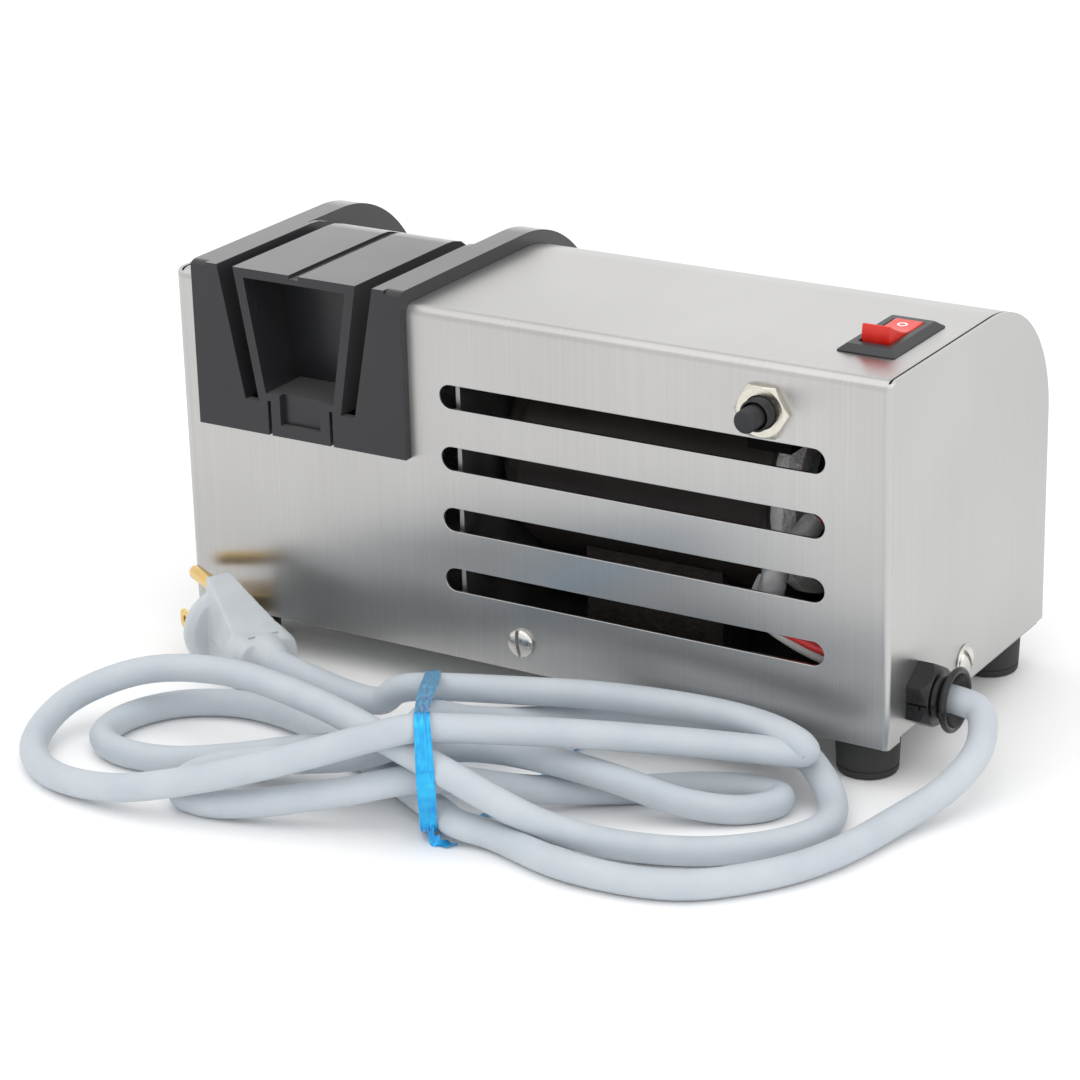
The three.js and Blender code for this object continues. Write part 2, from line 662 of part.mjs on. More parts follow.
// A slotted pan head screw, its head's underside at the origin and its shank along minus Z.
function panScrew(headRadius, headHeight, shankRadius, shankLength) {
  const slotWidth = DRIVER_SLOT_WIDTH * (headRadius / PAN_HEAD_RADIUS);
  const slotDepth = DRIVER_SLOT_DEPTH * (headHeight / PAN_HEAD_HEIGHT);
  const edge = PAN_EDGE * (headHeight / PAN_HEAD_HEIGHT);
  const body = [
    [0, -shankLength],
    [shankRadius, -shankLength],
    [shankRadius, 0],
    [headRadius, 0],
    [headRadius, headHeight - edge],
    [headRadius - edge, headHeight],
    [0, headHeight],
  ];
  const driver = block(
    [-headRadius * 2, -slotWidth / 2, headHeight - slotDepth],
    [headRadius * 2, slotWidth / 2, headHeight + OVERRUN],
  );
  return turned("z", body, [0, 0, 0], SMALL_SIDES).subtract(driver);
}

// A screw turned to stand on a face: the head looks along the given axis.
function screw(name, shape, at, [rx, ry, rz], group = sharpener) {
  const mesh = piece(name, shape, FINISHES.screwSteel, group, at);
  mesh.rotation.set(rx, ry, rz);
}

const coverScrew = panScrew(PAN_HEAD_RADIUS, PAN_HEAD_HEIGHT, PAN_SHANK_RADIUS, PAN_SHANK_LENGTH);
const quarter = Math.PI / 2;
screw("cover_screw_front", coverScrew, screwAt.front, [quarter, 0, quarter]);
screw("cover_screw_back", coverScrew, screwAt.back, [-quarter, 0, quarter / 2]);
screw("cover_screw_left", coverScrew, screwAt.left, [0, -quarter, 0]);
screw("cover_screw_right", coverScrew, screwAt.right, [0, quarter, 0]);

const footNames = ["front_left", "front_right", "back_left", "back_right"];
footAt.forEach(([x, y], i) => {
  piece("foot_" + footNames[i], foot(), FINISHES.footRubber, sharpener, [x, y, 0]);
  const shape = panScrew(FOOT_HEAD_RADIUS, SMALL_HEAD_HEIGHT, SMALL_SHANK_RADIUS, FOOT_SCREW_LENGTH);
  screw("foot_screw_" + footNames[i], shape, [x, y, FOOT_RECESS_DEPTH], [Math.PI, 0, 0]);
});

// The moulding's outline between its side flanges: front plate, flat deck, sloping run, back plate.
function saddleSection(inset) {
  const front = -SADDLE_FRONT_PROUD + inset;
  const top = caseTop + SADDLE_TOP_PROUD - inset;
  const back = CASE_DEPTH + SADDLE_TOP_PROUD - inset;
  const fall = Math.tan(radians(DECK_FALL));
  const bottom = caseBottom + SADDLE_BOTTOM;
  return [
    [front, bottom],
    [back, bottom],
    [back, top - (back - DECK_RUN) * fall],
    [DECK_RUN, top],
    [front, top],
  ];
}

// A slanted outline about the saddle's middle plane, given by its half-widths at two levels.
function slantedBand(side, [low, high], [lowFrom, lowTo], [highFrom, highTo], [bottom, top]) {
  const lean = (a, b, level) => a + ((b - a) * (level - low)) / (high - low);
  const at = (half, level) => [SADDLE_CENTRE + side * half, level];
  return polygon([
    at(lean(lowFrom, highFrom, bottom), bottom),
    at(lean(lowTo, highTo, bottom), bottom),
    at(lean(lowTo, highTo, top), top),
    at(lean(lowFrom, highFrom, top), top),
  ]);
}

// Guide saddle: flanges that follow the case, a hollow deck between them, and two slanted knife slots.
function guideSaddle() {
  const bottom = caseBottom + SADDLE_BOTTOM;
  const top = caseTop + SADDLE_TOP_PROUD;
  const levels = [caseBottom + KNIFE_SLOT_BOTTOM, caseBottom + KNIFE_SLOT_TOP];
  const slotLow = levels[0];
  const backFace = CASE_DEPTH + SADDLE_TOP_PROUD;
  const left = SADDLE_CENTRE - SADDLE_INNER_HALF;
  const right = SADDLE_CENTRE + SADDLE_INNER_HALF;
  const arch = (from, to, outer, inner) => {
    const frontCut = block([from, -SADDLE_TOP_PROUD - OVERRUN, 0], [to, -SADDLE_FRONT_PROUD, top * 2]);
    const outside = prism("x", caseSide(outer, bottom, 0), from, to).subtract(frontCut);
    return outside.subtract(prism("x", caseSide(inner, bottom - OVERRUN), from - OVERRUN, to + OVERRUN));
  };
  const flanges = [
    arch(SADDLE_CENTRE - SADDLE_HALF, left + WEB_WALL, SADDLE_TOP_PROUD, SEAT_GAP),
    arch(right - WEB_WALL, SADDLE_CENTRE + SADDLE_HALF, SADDLE_TOP_PROUD, SEAT_GAP),
  ];
  const sill = caseBottom + OPENING_SILL + SLIP_GAP;
  const webs = [left, right - WEB_WALL].map((x) =>
    arch(x, x + WEB_WALL, SADDLE_TOP_PROUD, -WEB_REACH).subtract(
      block([x - OVERRUN, -OVERRUN * 2, 0], [x + OVERRUN, CASE_DEPTH * 2, sill]),
    ),
  );
  const block3 = (outline, from, to) => prism("x", polygon(outline), from, to);
  const envelope = block3(saddleSection(0), left, right);
  const hollow = saddleSection(SADDLE_WALL);
  hollow[0][1] -= OVERRUN;
  hollow[1][1] -= OVERRUN;
  hollow[0][0] = -SEAT_GAP;
  hollow[4][0] = -SEAT_GAP;
  hollow[1][0] = CASE_DEPTH + SEAT_GAP;
  hollow[2][0] = CASE_DEPTH + SEAT_GAP;
  const shell = envelope.subtract(block3(hollow, left - OVERRUN, right + OVERRUN));
  const recessBack = RECESS_DEPTH + GUIDE_WALL;
  const wheelTop = axisAt[2] + WHEEL_RADIUS + WHEEL_CLEARANCE;
  const innerLow = [RECESS_LOW_HALF, SLOT_INNER_LOW];
  const innerHigh = [RECESS_HIGH_HALF, SLOT_INNER_HIGH];
  const guides = [-1, 1].flatMap((side) => [
    prism("y", slantedBand(side, levels, innerLow, innerHigh, [slotLow, top]), -SADDLE_FRONT_PROUD, recessBack),
    prism("y", slantedBand(side, levels, innerLow, innerHigh, [wheelTop, top]), recessBack - SLIP_GAP, backFace),
    prism(
      "y",
      slantedBand(
        side,
        levels,
        [SLOT_OUTER_LOW, SLOT_OUTER_LOW + GUIDE_WALL],
        [SLOT_OUTER_HIGH, SLOT_OUTER_HIGH + GUIDE_WALL],
        [slotLow, top],
      ),
      -SADDLE_FRONT_PROUD,
      backFace,
    ),
  ]);
  const recessSill = caseBottom + RECESS_SILL;
  const spread = (RECESS_HIGH_HALF - RECESS_LOW_HALF) / (levels[1] - levels[0]);
  const recessHalf = (level, extra) => RECESS_LOW_HALF + (level - levels[0]) * spread + extra;
  const recessOutline = (low, high, extra) =>
    polygon([
      [SADDLE_CENTRE - recessHalf(low, extra), low],
      [SADDLE_CENTRE + recessHalf(low, extra), low],
      [SADDLE_CENTRE + recessHalf(high, extra), high],
      [SADDLE_CENTRE - recessHalf(high, extra), high],
    ]);
  const recessWall = prism("y", recessOutline(slotLow, top, GUIDE_WALL / 2), RECESS_DEPTH, recessBack);
  const recessFloor = block(
    [SADDLE_CENTRE - SLOT_INNER_LOW, -SADDLE_FRONT_PROUD, recessSill - RECESS_FLOOR],
    [SADDLE_CENTRE + SLOT_INNER_LOW, recessBack, recessSill],
  );
  const inside = sum([...guides, recessWall, recessFloor]).intersect(envelope);
  const recessCut = recessOutline(recessSill, top - RECESS_LID, SLIP_GAP);
  const recess = prism("y", recessCut, -SADDLE_FRONT_PROUD - OVERRUN, RECESS_DEPTH);
  const knifeSlots = [-1, 1].map((side) =>
    prism(
      "y",
      slantedBand(
        side,
        levels,
        [SLOT_INNER_LOW, SLOT_OUTER_LOW],
        [SLOT_INNER_HIGH, SLOT_OUTER_HIGH],
        [slotLow, top + OVERRUN],
      ),
      -SADDLE_FRONT_PROUD - OVERRUN,
      backFace + OVERRUN,
    ),
  );
  const window = block(
    [SADDLE_CENTRE - WINDOW_HALF, -SADDLE_FRONT_PROUD - OVERRUN, caseBottom + WINDOW_SILL],
    [SADDLE_CENTRE + WINDOW_HALF, 0, recessSill + OVERRUN],
  );
  const slits = [-1, 1].map((side) => {
    const edges = [TAB_HALF * side, (TAB_HALF + TAB_SLIT) * side].sort((a, b) => a - b);
    return block(
      [SADDLE_CENTRE + edges[0], -SADDLE_FRONT_PROUD - OVERRUN, bottom - OVERRUN],
      [SADDLE_CENTRE + edges[1], 0, recessSill - RECESS_FLOOR],
    );
  });
  const groove = block(
    [SADDLE_CENTRE - GROOVE_WIDTH / 2, -SADDLE_FRONT_PROUD - OVERRUN, top - GROOVE_DEPTH],
    [SADDLE_CENTRE + GROOVE_WIDTH / 2, DECK_RUN, top + OVERRUN],
  );
  return cut(sum([shell, ...flanges, ...webs, inside]), [recess, ...knifeSlots, window, ...slits, groove]);
}
piece("guide_saddle", guideSaddle(), FINISHES.saddlePlastic);

// Rotor: everything that turns with the shaft
const rotor = new THREE.Group();
sharpener.add(rotor);

// Shaft: a plain rod with a collar that the wheels are clamped against.
const hubReach = WHEEL_RIM_REACH - WHEEL_DISH;
const collarFrom = SADDLE_CENTRE + hubReach;
const bellFront = MOTOR_FRONT - BELL_THICKNESS;
const shaftProfile = [
  [0, SHAFT_TIP],
  [SHAFT_RADIUS, SHAFT_TIP],
  [SHAFT_RADIUS, collarFrom],
  [SHAFT_COLLAR_RADIUS, collarFrom],
  [SHAFT_COLLAR_RADIUS, bellFront - WHEEL_CLEARANCE],
  [SHAFT_RADIUS, bellFront - WHEEL_CLEARANCE],
  [SHAFT_RADIUS, SHAFT_END],
  [0, SHAFT_END],
];
piece("drive_shaft", turned("x", shaftProfile, along(0)), FINISHES.screwSteel, rotor);

// Grinding wheel: dished on the outside to lie along the knife slot, flat on the inside.
function wheel(side) {
  const bore = SHAFT_RADIUS + PRESS_GAP;
  const inner = (side * WHEEL_SPACING) / 2;
  const hub = side * hubReach;
  const rim = side * WHEEL_RIM_REACH;
  const profile = [
    [bore, inner],
    [WHEEL_RADIUS, inner],
    [WHEEL_RADIUS, rim - side * WHEEL_EDGE],
    [WHEEL_RADIUS - WHEEL_EDGE, rim],
    [WHEEL_HUB_RADIUS, hub],
    [bore, hub],
  ];
  return turned("x", profile, along(SADDLE_CENTRE));
}
piece("wheel_left", wheel(-1), FINISHES.abrasive, rotor);
piece("wheel_right", wheel(1), FINISHES.abrasive, rotor);
const spacerFrom = SADDLE_CENTRE - WHEEL_SPACING / 2;
const shaftSeat = SHAFT_RADIUS + PRESS_GAP;
piece(
  "wheel_spacer",
  ring("x", shaftSeat, SPACER_RADIUS, WHEEL_SPACING, along(spacerFrom)),
  FINISHES.screwSteel,
  rotor,
);
const nutCorner = (flats) => flats / 2 / Math.cos(Math.PI / 6);
const nutFrom = SADDLE_CENTRE - hubReach - WHEEL_NUT_THICKNESS;
const wheelNut = prism(
  "x",
  regular(6, nutCorner(WHEEL_NUT_FLATS), [AXIS_SETBACK, axisAt[2]]),
  nutFrom,
  nutFrom + WHEEL_NUT_THICKNESS,
).subtract(rod("x", shaftSeat, CASE_WIDTH, along(0)));
piece("wheel_nut", wheelNut, FINISHES.screwSteel, rotor);
piece(
  "rotor_core",
  ring("x", shaftSeat, ROTOR_RADIUS, ROTOR_REAR - ROTOR_FRONT, along(ROTOR_FRONT)),
  FINISHES.galvanised,
  rotor,
);

// Cooling fan: a back disc with a hub and straight blades.
function coolingFan() {
  const width = FAN_REAR - FAN_FRONT;
  const disc = rod("x", FAN_RADIUS, FAN_DISC, along(FAN_FRONT));
  const hub = rod("x", FAN_HUB_RADIUS, width, along(FAN_FRONT));
  const blades = Array.from({ length: FAN_BLADES }, (_, i) => {
    const half = FAN_BLADE_THICKNESS / 2;
    const blade = block(
      [FAN_FRONT, -half, FAN_HUB_RADIUS / 2],
      [FAN_REAR, half, FAN_RADIUS - FAN_BLADE_THICKNESS],
    );
    return blade.rotate([(i * 360) / FAN_BLADES, 0, 0]).translate(along(0));
  });
  const bore = rod("x", shaftSeat, CASE_WIDTH, along(0));
  return sum([disc, hub, ...blades]).subtract(bore);
}
piece("cooling_fan", coolingFan(), FINISHES.castGrey, rotor);

// Motor: a wound can between two end bells that carry the bearings
const fieldRadius = MOTOR_RADIUS - MOTOR_WALL;
const motorLength = MOTOR_REAR - MOTOR_FRONT;
piece(
  "motor_can",
  ring("x", fieldRadius, MOTOR_RADIUS, motorLength, along(MOTOR_FRONT)),
  FINISHES.motorBlack,
);

// End bell: a turned casting with a lip on the can and a seat for its bearing.
function endBell(face, side) {
  const seat = BEARING_RADIUS + PRESS_GAP;
  const profile = [
    [SHAFT_RADIUS + WHEEL_CLEARANCE, face + side * BELL_THICKNESS],
    [BELL_RADIUS - BELL_LIP * 2, face + side * BELL_THICKNESS],
    [BELL_RADIUS, face + side * (BELL_THICKNESS - BELL_LIP * 2)],
    [BELL_RADIUS, face],
    [seat + BELL_LIP * 2, face],
    [seat + BELL_LIP * 2, face - side * BEARING_WIDTH],
    [seat, face - side * BEARING_WIDTH],
    [seat, face],
    [SHAFT_RADIUS + WHEEL_CLEARANCE, face],
  ];
  return turned("x", profile, along(0));
}
piece("motor_end_bell_drive", endBell(MOTOR_FRONT, -1), FINISHES.castGrey);
piece("motor_end_bell_rear", endBell(MOTOR_REAR, 1), FINISHES.castGrey);
const bearing = (from) =>
  ring("x", SHAFT_RADIUS + RUN_GAP, BEARING_RADIUS, BEARING_WIDTH, along(from));
piece("bearing_drive", bearing(MOTOR_FRONT), FINISHES.screwSteel);
piece("bearing_rear", bearing(MOTOR_REAR - BEARING_WIDTH), FINISHES.screwSteel);

// Cradle under the motor, screwed to the tray
function motorCradle() {
  const half = CRADLE_HALF + CRADLE_FOOT;
  const y = (offset) => AXIS_SETBACK + offset;
  const body = block([CRADLE_FRONT, y(-CRADLE_HALF), floorTop], [CRADLE_REAR, y(CRADLE_HALF), axisAt[2]]);
  const feet = block([CRADLE_FRONT, y(-half), floorTop], [CRADLE_REAR, y(half), floorTop + CRADLE_FOOT_THICKNESS]);
  const seat = rod("x", MOTOR_RADIUS + PRESS_GAP, CASE_WIDTH, along(0));
  const tunnel = block(
    [CRADLE_FRONT - OVERRUN, y(-CRADLE_HALF / 3), floorTop - OVERRUN],
    [CRADLE_REAR + OVERRUN, y(CRADLE_HALF / 3), floorTop + CRADLE_FOOT],
  );
  const bores = cradleScrewAt.map(([x, v]) =>
    rod("z", SMALL_SHANK_RADIUS + PRESS_GAP, CRADLE_FOOT, [x, v, floorTop - OVERRUN / 5], SMALL_SIDES),
  );
  const level = block(
    [CRADLE_FRONT - OVERRUN, 0, axisAt[2] - MOTOR_RADIUS * Math.cos(Math.asin(CRADLE_HALF / MOTOR_RADIUS))],
    [CRADLE_REAR + OVERRUN, CASE_DEPTH, caseTop],
  );
  return cut(body.add(feet), [seat, level, tunnel, ...bores]);
}
piece("motor_cradle", motorCradle(), FINISHES.galvanised);
cradleScrewAt.forEach(([x, y], i) => {
  const shape = panScrew(SMALL_HEAD_RADIUS, SMALL_HEAD_HEIGHT, SMALL_SHANK_RADIUS, SMALL_SHANK_LENGTH);
  const at = [x, y, floorTop + CRADLE_FOOT_THICKNESS];
  piece("cradle_screw_" + (i ? "back" : "front"), shape, FINISHES.screwSteel, sharpener, at);
});

// Bulkhead between the wheels and the motor, with a flange on the tray
function bulkhead() {
  const outline = caseSide(-SHEET - BULKHEAD_MARGIN, floorTop);
  const plate = prism("x", outline, BULKHEAD_AT - BULKHEAD_SHEET, BULKHEAD_AT);
  const flange = block(
    [BULKHEAD_AT - BULKHEAD_FLANGE, TRAY_CORNER * 2, floorTop],
    [BULKHEAD_AT, CASE_DEPTH - TRAY_CORNER * 2, floorTop + BULKHEAD_SHEET],
  );
  const bore = rod("x", BULKHEAD_BORE, CASE_WIDTH, along(0));
  return plate.add(flange).subtract(bore);
}
piece("bulkhead", bulkhead(), FINISHES.galvanised);

// Rocker switch: a body with a chamfered bezel and a well that the rocker swings in
function switchBody() {
  const [cx, cy, face] = switchAt;
  const corner = BEZEL_CHAMFER;
  const plate = prism("z", roundedRectangle(BEZEL_WIDTH, BEZEL_LENGTH, corner, [cx, cy]), face, face + BEZEL_THICKNESS);
  const slope = (side) =>
    prism(
      "y",
      polygon([
        [cx + side * (BEZEL_WIDTH / 2 - BEZEL_CHAMFER), face + BEZEL_THICKNESS],
        [cx + side * (BEZEL_WIDTH / 2), face + BEZEL_THICKNESS - BEZEL_CHAMFER],
        [cx + side * BEZEL_WIDTH, face + BEZEL_THICKNESS - BEZEL_CHAMFER],
        [cx + side * BEZEL_WIDTH, face + BEZEL_THICKNESS * 2],
        [cx + side * (BEZEL_WIDTH / 2 - BEZEL_CHAMFER), face + BEZEL_THICKNESS * 2],
      ].slice(0, 5)),
      cy - BEZEL_LENGTH,
      cy + BEZEL_LENGTH,
    );
  const body = block(
    [cx - SWITCH_WIDTH / 2, cy - SWITCH_LENGTH / 2, face - SWITCH_DEPTH],
    [cx + SWITCH_WIDTH / 2, cy + SWITCH_LENGTH / 2, face + BEZEL_THICKNESS / 2],
  );
  const half = ROCKER_WIDTH / 2 + SLIP_GAP;
  const swing = Math.hypot(ROCKER_LENGTH / 2, ROCKER_END_RISE) + SLIP_GAP;
  const well = block([cx - half, cy - swing, face - ROCKER_WELL], [cx + half, cy + swing, face + OVERRUN]);
  const pins = rod(
    "x",
    ROCKER_PIN_RADIUS + PRESS_GAP,
    2 * (half + ROCKER_PIN_REACH),
    [cx - half - ROCKER_PIN_REACH, cy, face],
    SMALL_SIDES,
  );
  return cut(plate.add(body), [slope(-1), slope(1), well, pins]);
}
piece("switch_body", switchBody(), FINISHES.blackPlastic);

// Rocker: a shallow V on top, a keel below and a pin at each side, raised at the near end.
function rocker() {
  const end = ROCKER_LENGTH / 2;
  const keel = ROCKER_KEEL_LENGTH / 2;
  const side = polygon([
    [-keel, -ROCKER_KEEL],
    [keel, -ROCKER_KEEL],
    [end, ROCKER_SHOULDER],
    [end, ROCKER_END_RISE],
    [0, ROCKER_MID_RISE],
    [-end, ROCKER_END_RISE],
    [-end, ROCKER_SHOULDER],
  ]);
  const half = ROCKER_WIDTH / 2;
  const reach = half + SLIP_GAP + ROCKER_PIN_REACH - PRESS_GAP;
  const pins = rod("x", ROCKER_PIN_RADIUS, 2 * reach, [-reach, 0, 0], SMALL_SIDES);
  return prism("x", side, -half, half).add(pins);
}
const rockerMesh = piece("switch_rocker", rocker(), FINISHES.redPlastic, sharpener, switchAt);
rockerMesh.rotation.x = -radians(ROCKER_TILT);
[-1, 1].forEach((side) => {
  const [cx, cy, face] = switchAt;
  const y = cy + (side * TERMINAL_SPREAD) / 2;
  const top = face - SWITCH_DEPTH;
  const blade = block(
    [cx - TERMINAL_WIDTH / 2, y - TERMINAL_THICKNESS / 2, top - TERMINAL_LENGTH],
    [cx + TERMINAL_WIDTH / 2, y + TERMINAL_THICKNESS / 2, top],
  );
  piece("switch_terminal_" + (side < 0 ? "front" : "back"), blade, FINISHES.brass);
});

// Reset breaker: body behind the front sheet, collar through it, nut, and a sprung button
const [breakerX, , breakerZ] = breakerAt;
const buttonBore = BUTTON_RADIUS + PRESS_GAP * 2;
const boreEnd = BUTTON_TAIL + BUTTON_TRAVEL + SLIP_GAP;
const breakerCase = block(
  [breakerX - BREAKER_WIDTH / 2, BREAKER_SETBACK, breakerZ - BREAKER_BELOW],
  [breakerX + BREAKER_WIDTH / 2, BREAKER_SETBACK + BREAKER_LENGTH, breakerZ + BREAKER_ABOVE],
);
const breakerBody = breakerCase
  .add(rod("y", COLLAR_RADIUS, COLLAR_REACH + BREAKER_SETBACK, [breakerX, -COLLAR_REACH, breakerZ]))
  .subtract(rod("y", buttonBore, COLLAR_REACH + boreEnd + OVERRUN, [breakerX, -COLLAR_REACH - OVERRUN, breakerZ]));
piece("breaker_body", breakerBody, FINISHES.blackPlastic);
const breakerNut = prism(
  "y",
  regular(6, nutCorner(BREAKER_NUT_FLATS), [breakerX, breakerZ]),
  -BREAKER_NUT_THICKNESS,
  0,
).subtract(rod("y", COLLAR_RADIUS + PRESS_GAP, OVERRUN * 2, [breakerX, -OVERRUN, breakerZ]));
piece("breaker_nut", breakerNut, FINISHES.nickel);
const buttonProfile = [
  [0, -BUTTON_REACH],
  [BUTTON_RADIUS - BUTTON_EDGE, -BUTTON_REACH],
  [BUTTON_RADIUS, BUTTON_EDGE - BUTTON_REACH],
  [BUTTON_RADIUS, BUTTON_TAIL],
  [0, BUTTON_TAIL],
];
piece("reset_button", turned("y", buttonProfile, [0, 0, 0]), FINISHES.blackPlastic, sharpener, breakerAt);
[-1, 1].forEach((side) => {
  const x = breakerX + (side * BREAKER_TERMINAL_SPREAD) / 2;
  const y = BREAKER_SETBACK + BREAKER_LENGTH;
  const z = breakerZ - BREAKER_TERMINAL_DROP;
  const blade = block(
    [x - TERMINAL_THICKNESS / 2, y, z - TERMINAL_WIDTH / 2],
    [x + TERMINAL_THICKNESS / 2, y + TERMINAL_LENGTH, z + TERMINAL_WIDTH / 2],
  );
  piece("breaker_terminal_" + (side < 0 ? "left" : "right"), blade, FINISHES.brass);
});

// Strain relief: a hexagon with a necked, flared mouth that the lead comes out of
function strainRelief() {
  const [x, y, z] = glandAt;
  const neckFrom = GLAND_HEX_LENGTH;
  const ringFrom = neckFrom + GLAND_NECK_LENGTH;
  const end = ringFrom + GLAND_RING_WIDTH;
  const roundOff = GLAND_RING_WIDTH / 3;
  const profile = [
    [0, -GLAND_SHANK_LENGTH],
    [GLAND_SHANK_RADIUS, -GLAND_SHANK_LENGTH],
    [GLAND_SHANK_RADIUS, neckFrom / 2],
    [GLAND_SHANK_RADIUS, neckFrom],
    [GLAND_NECK_RADIUS, ringFrom],
    [GLAND_RING_RADIUS, ringFrom + roundOff],
    [GLAND_RING_RADIUS, end - roundOff],
    [GLAND_RING_RADIUS - roundOff, end],
    [0, end],
  ];
  const hex = prism("x", regular(6, nutCorner(GLAND_HEX_FLATS), [y, z], Math.PI / 2), x, x + neckFrom);
  const mouth = [
    [0, GLAND_SEAT],
    [CORD_RADIUS + SOFT_GAP, GLAND_SEAT],
    [CORD_RADIUS + SOFT_GAP, ringFrom],
    [CORD_RADIUS + GLAND_NECK_LENGTH, end],
    [CORD_RADIUS + GLAND_NECK_LENGTH, end + OVERRUN],
    [0, end + OVERRUN],
  ];
  return turned("x", profile, glandAt).add(hex).subtract(turned("x", mouth, glandAt));
}
piece("strain_relief", strainRelief(), FINISHES.blackPlastic);

// A point of one half turn of the hank, from 0 at one pass through the tie to 1 at the next.
function halfTurnPoint(index, t) {
  const [side, reach, tip, belly, drift, lift, tilt, rise, flat, skew] = HANK_HALF_TURNS[index];
  const [[alongFrom, upFrom], [alongTo, upTo]] = [HANK_PASSES[index], HANK_PASSES[index + 1]];
  const [s, s2, s3] = [1, 2, 3].map((n) => Math.sin(n * Math.PI * t));
  const out = side * (reach * s + flat * s3 + skew * s2);
  const across = alongFrom + (alongTo - alongFrom) * t + tip * s * s + belly * s2 + drift * s3;
  const up = upFrom + (upTo - upFrom) * t + lift * s * s + tilt * s2 + rise * s3;
  const turn = radians(HANK_TURN);
  return new THREE.Vector3(
    HANK_X + out * Math.cos(turn) - across * Math.sin(turn),
    HANK_Y + out * Math.sin(turn) + across * Math.cos(turn),
    Math.max(CORD_RADIUS + up, CORD_RADIUS),
  );
}

// The hank's axis: all half turns on end, with a straight piece at each end.
function hankPoints(stepsEach) {
  const points = HANK_HALF_TURNS.flatMap((_, index) =>
    Array.from({ length: stepsEach }, (_unused, i) => halfTurnPoint(index, i / stepsEach)),
  );
  const last = HANK_HALF_TURNS.length - 1;
  points.push(halfTurnPoint(last, 1));
  const run = (from, to) => to.clone().sub(from).setLength(STRAIGHT_END);
  const first = points[0].clone().add(run(points[1], points[0]));
  const end = points[points.length - 1].clone().add(run(points[points.length - 2], points[points.length - 1]));
  return [first, ...points, end];
}

// Least distance between two stretches of a line.
function stretchDistance(a0, a1, b0, b1) {
  const [u, v, w] = [a1.clone().sub(a0), b1.clone().sub(b0), a0.clone().sub(b0)];
  const [a, b, c, d, e] = [u.dot(u), u.dot(v), v.dot(v), u.dot(w), v.dot(w)];
  const clamp = (x) => Math.min(Math.max(x, 0), 1);
  const skewness = a * c - b * b;
  let s = skewness > 0 ? clamp((b * e - c * d) / skewness) : 0;
  const t = clamp((b * s + e) / c);
  s = clamp((b * t - d) / a);
  return a0.clone().addScaledVector(u, s).distanceTo(b0.clone().addScaledVector(v, t));
}

// Least gap between a cord's surface and itself, measured between stretches well apart along it.
function leastSelfGap(points) {
  const runs = [0];
  for (let i = 1; i < points.length; i += 1) runs.push(runs[i - 1] + points[i].distanceTo(points[i - 1]));
  let least = Infinity;
  for (let i = 0; i + 1 < points.length; i += 1) {
    for (let j = i + 2; j + 1 < points.length; j += 1) {
      if (runs[j] - runs[i + 1] < 3 * CORD_DIAMETER) continue;
      const apart = stretchDistance(points[i], points[i + 1], points[j], points[j + 1]);
      least = Math.min(least, apart - CORD_DIAMETER);
    }
  }
  return least;
}

// Mains lead: from the strain relief over the floor to the tie, the hank, and the tail to the plug
const hank = hankPoints(HALF_TURN_STEPS);
const meet = (end, inner) => end.clone().add(end.clone().sub(inner).setLength(SOFT_GAP));
const hankStart = meet(hank[0], hank[1]);
const beforeHank = hankStart.clone().add(hank[0].clone().sub(hank[1]).setLength(STRAIGHT_END));
const leadStart = new THREE.Vector3(glandAt[0] + GLAND_SEAT + SOFT_GAP, glandAt[1], glandAt[2]);
const mouthEnd = glandAt[0] + GLAND_HEX_LENGTH + GLAND_NECK_LENGTH + GLAND_RING_WIDTH;
const leadMouth = new THREE.Vector3(mouthEnd, glandAt[1], glandAt[2]);
const vector = (p) => new THREE.Vector3(...p);
const lead = [leadStart, leadMouth, ...LEAD_POINTS.map(vector), beforeHank, hankStart];
const hankLast = hank.length - 1;
const tailStart = meet(hank[hankLast], hank[hankLast - 1]);
const afterHank = tailStart.clone().add(hank[hankLast].clone().sub(hank[hankLast - 1]).setLength(STRAIGHT_END));
const heading = radians(PLUG_HEADING);
const plugBack = new THREE.Vector3(Math.cos(heading), -Math.sin(heading), 0);
const plugEnd = new THREE.Vector3(PLUG_X, PLUG_Y, PLUG_RISE);
const exitRun = PLUG_LENGTH - PLUG_SEAT + SOFT_GAP;
const tailEnd = plugEnd.clone().addScaledVector(plugBack, exitRun);
const beforePlug = tailEnd.clone().addScaledVector(plugBack, STRAIGHT_END);
const tail = [tailStart, afterHank, ...TAIL_POINTS.map(vector), beforePlug, tailEnd];
piece("cord_lead", tube(lead, CORD_RADIUS, CORD_SIDES, 2), FINISHES.cordGrey);
piece("cord_hank", tube(hank, CORD_RADIUS, HANK_SIDES), FINISHES.cordGrey);
piece("cord_tail", tube(tail, CORD_RADIUS, CORD_SIDES, 2), FINISHES.cordGrey);
const fine = (points, each) => new KnotCurve(points).getPoints((points.length - 1) * each);
const runLength = (points) => points.slice(1).reduce((total, p, i) => total + p.distanceTo(points[i]), 0);
const cordLength = runLength(fine(lead, 4)) + runLength(fine(hank, 4)) + runLength(fine(tail, 4));
console.log("least gap of the hank to itself: " + leastSelfGap(hank).toFixed(2) + " mm");
console.log("least gap of the whole lead to itself: " + leastSelfGap([...lead, ...hank, ...tail]).toFixed(2) + " mm");
console.log("length of the lead: " + cordLength.toFixed(0) + " mm");

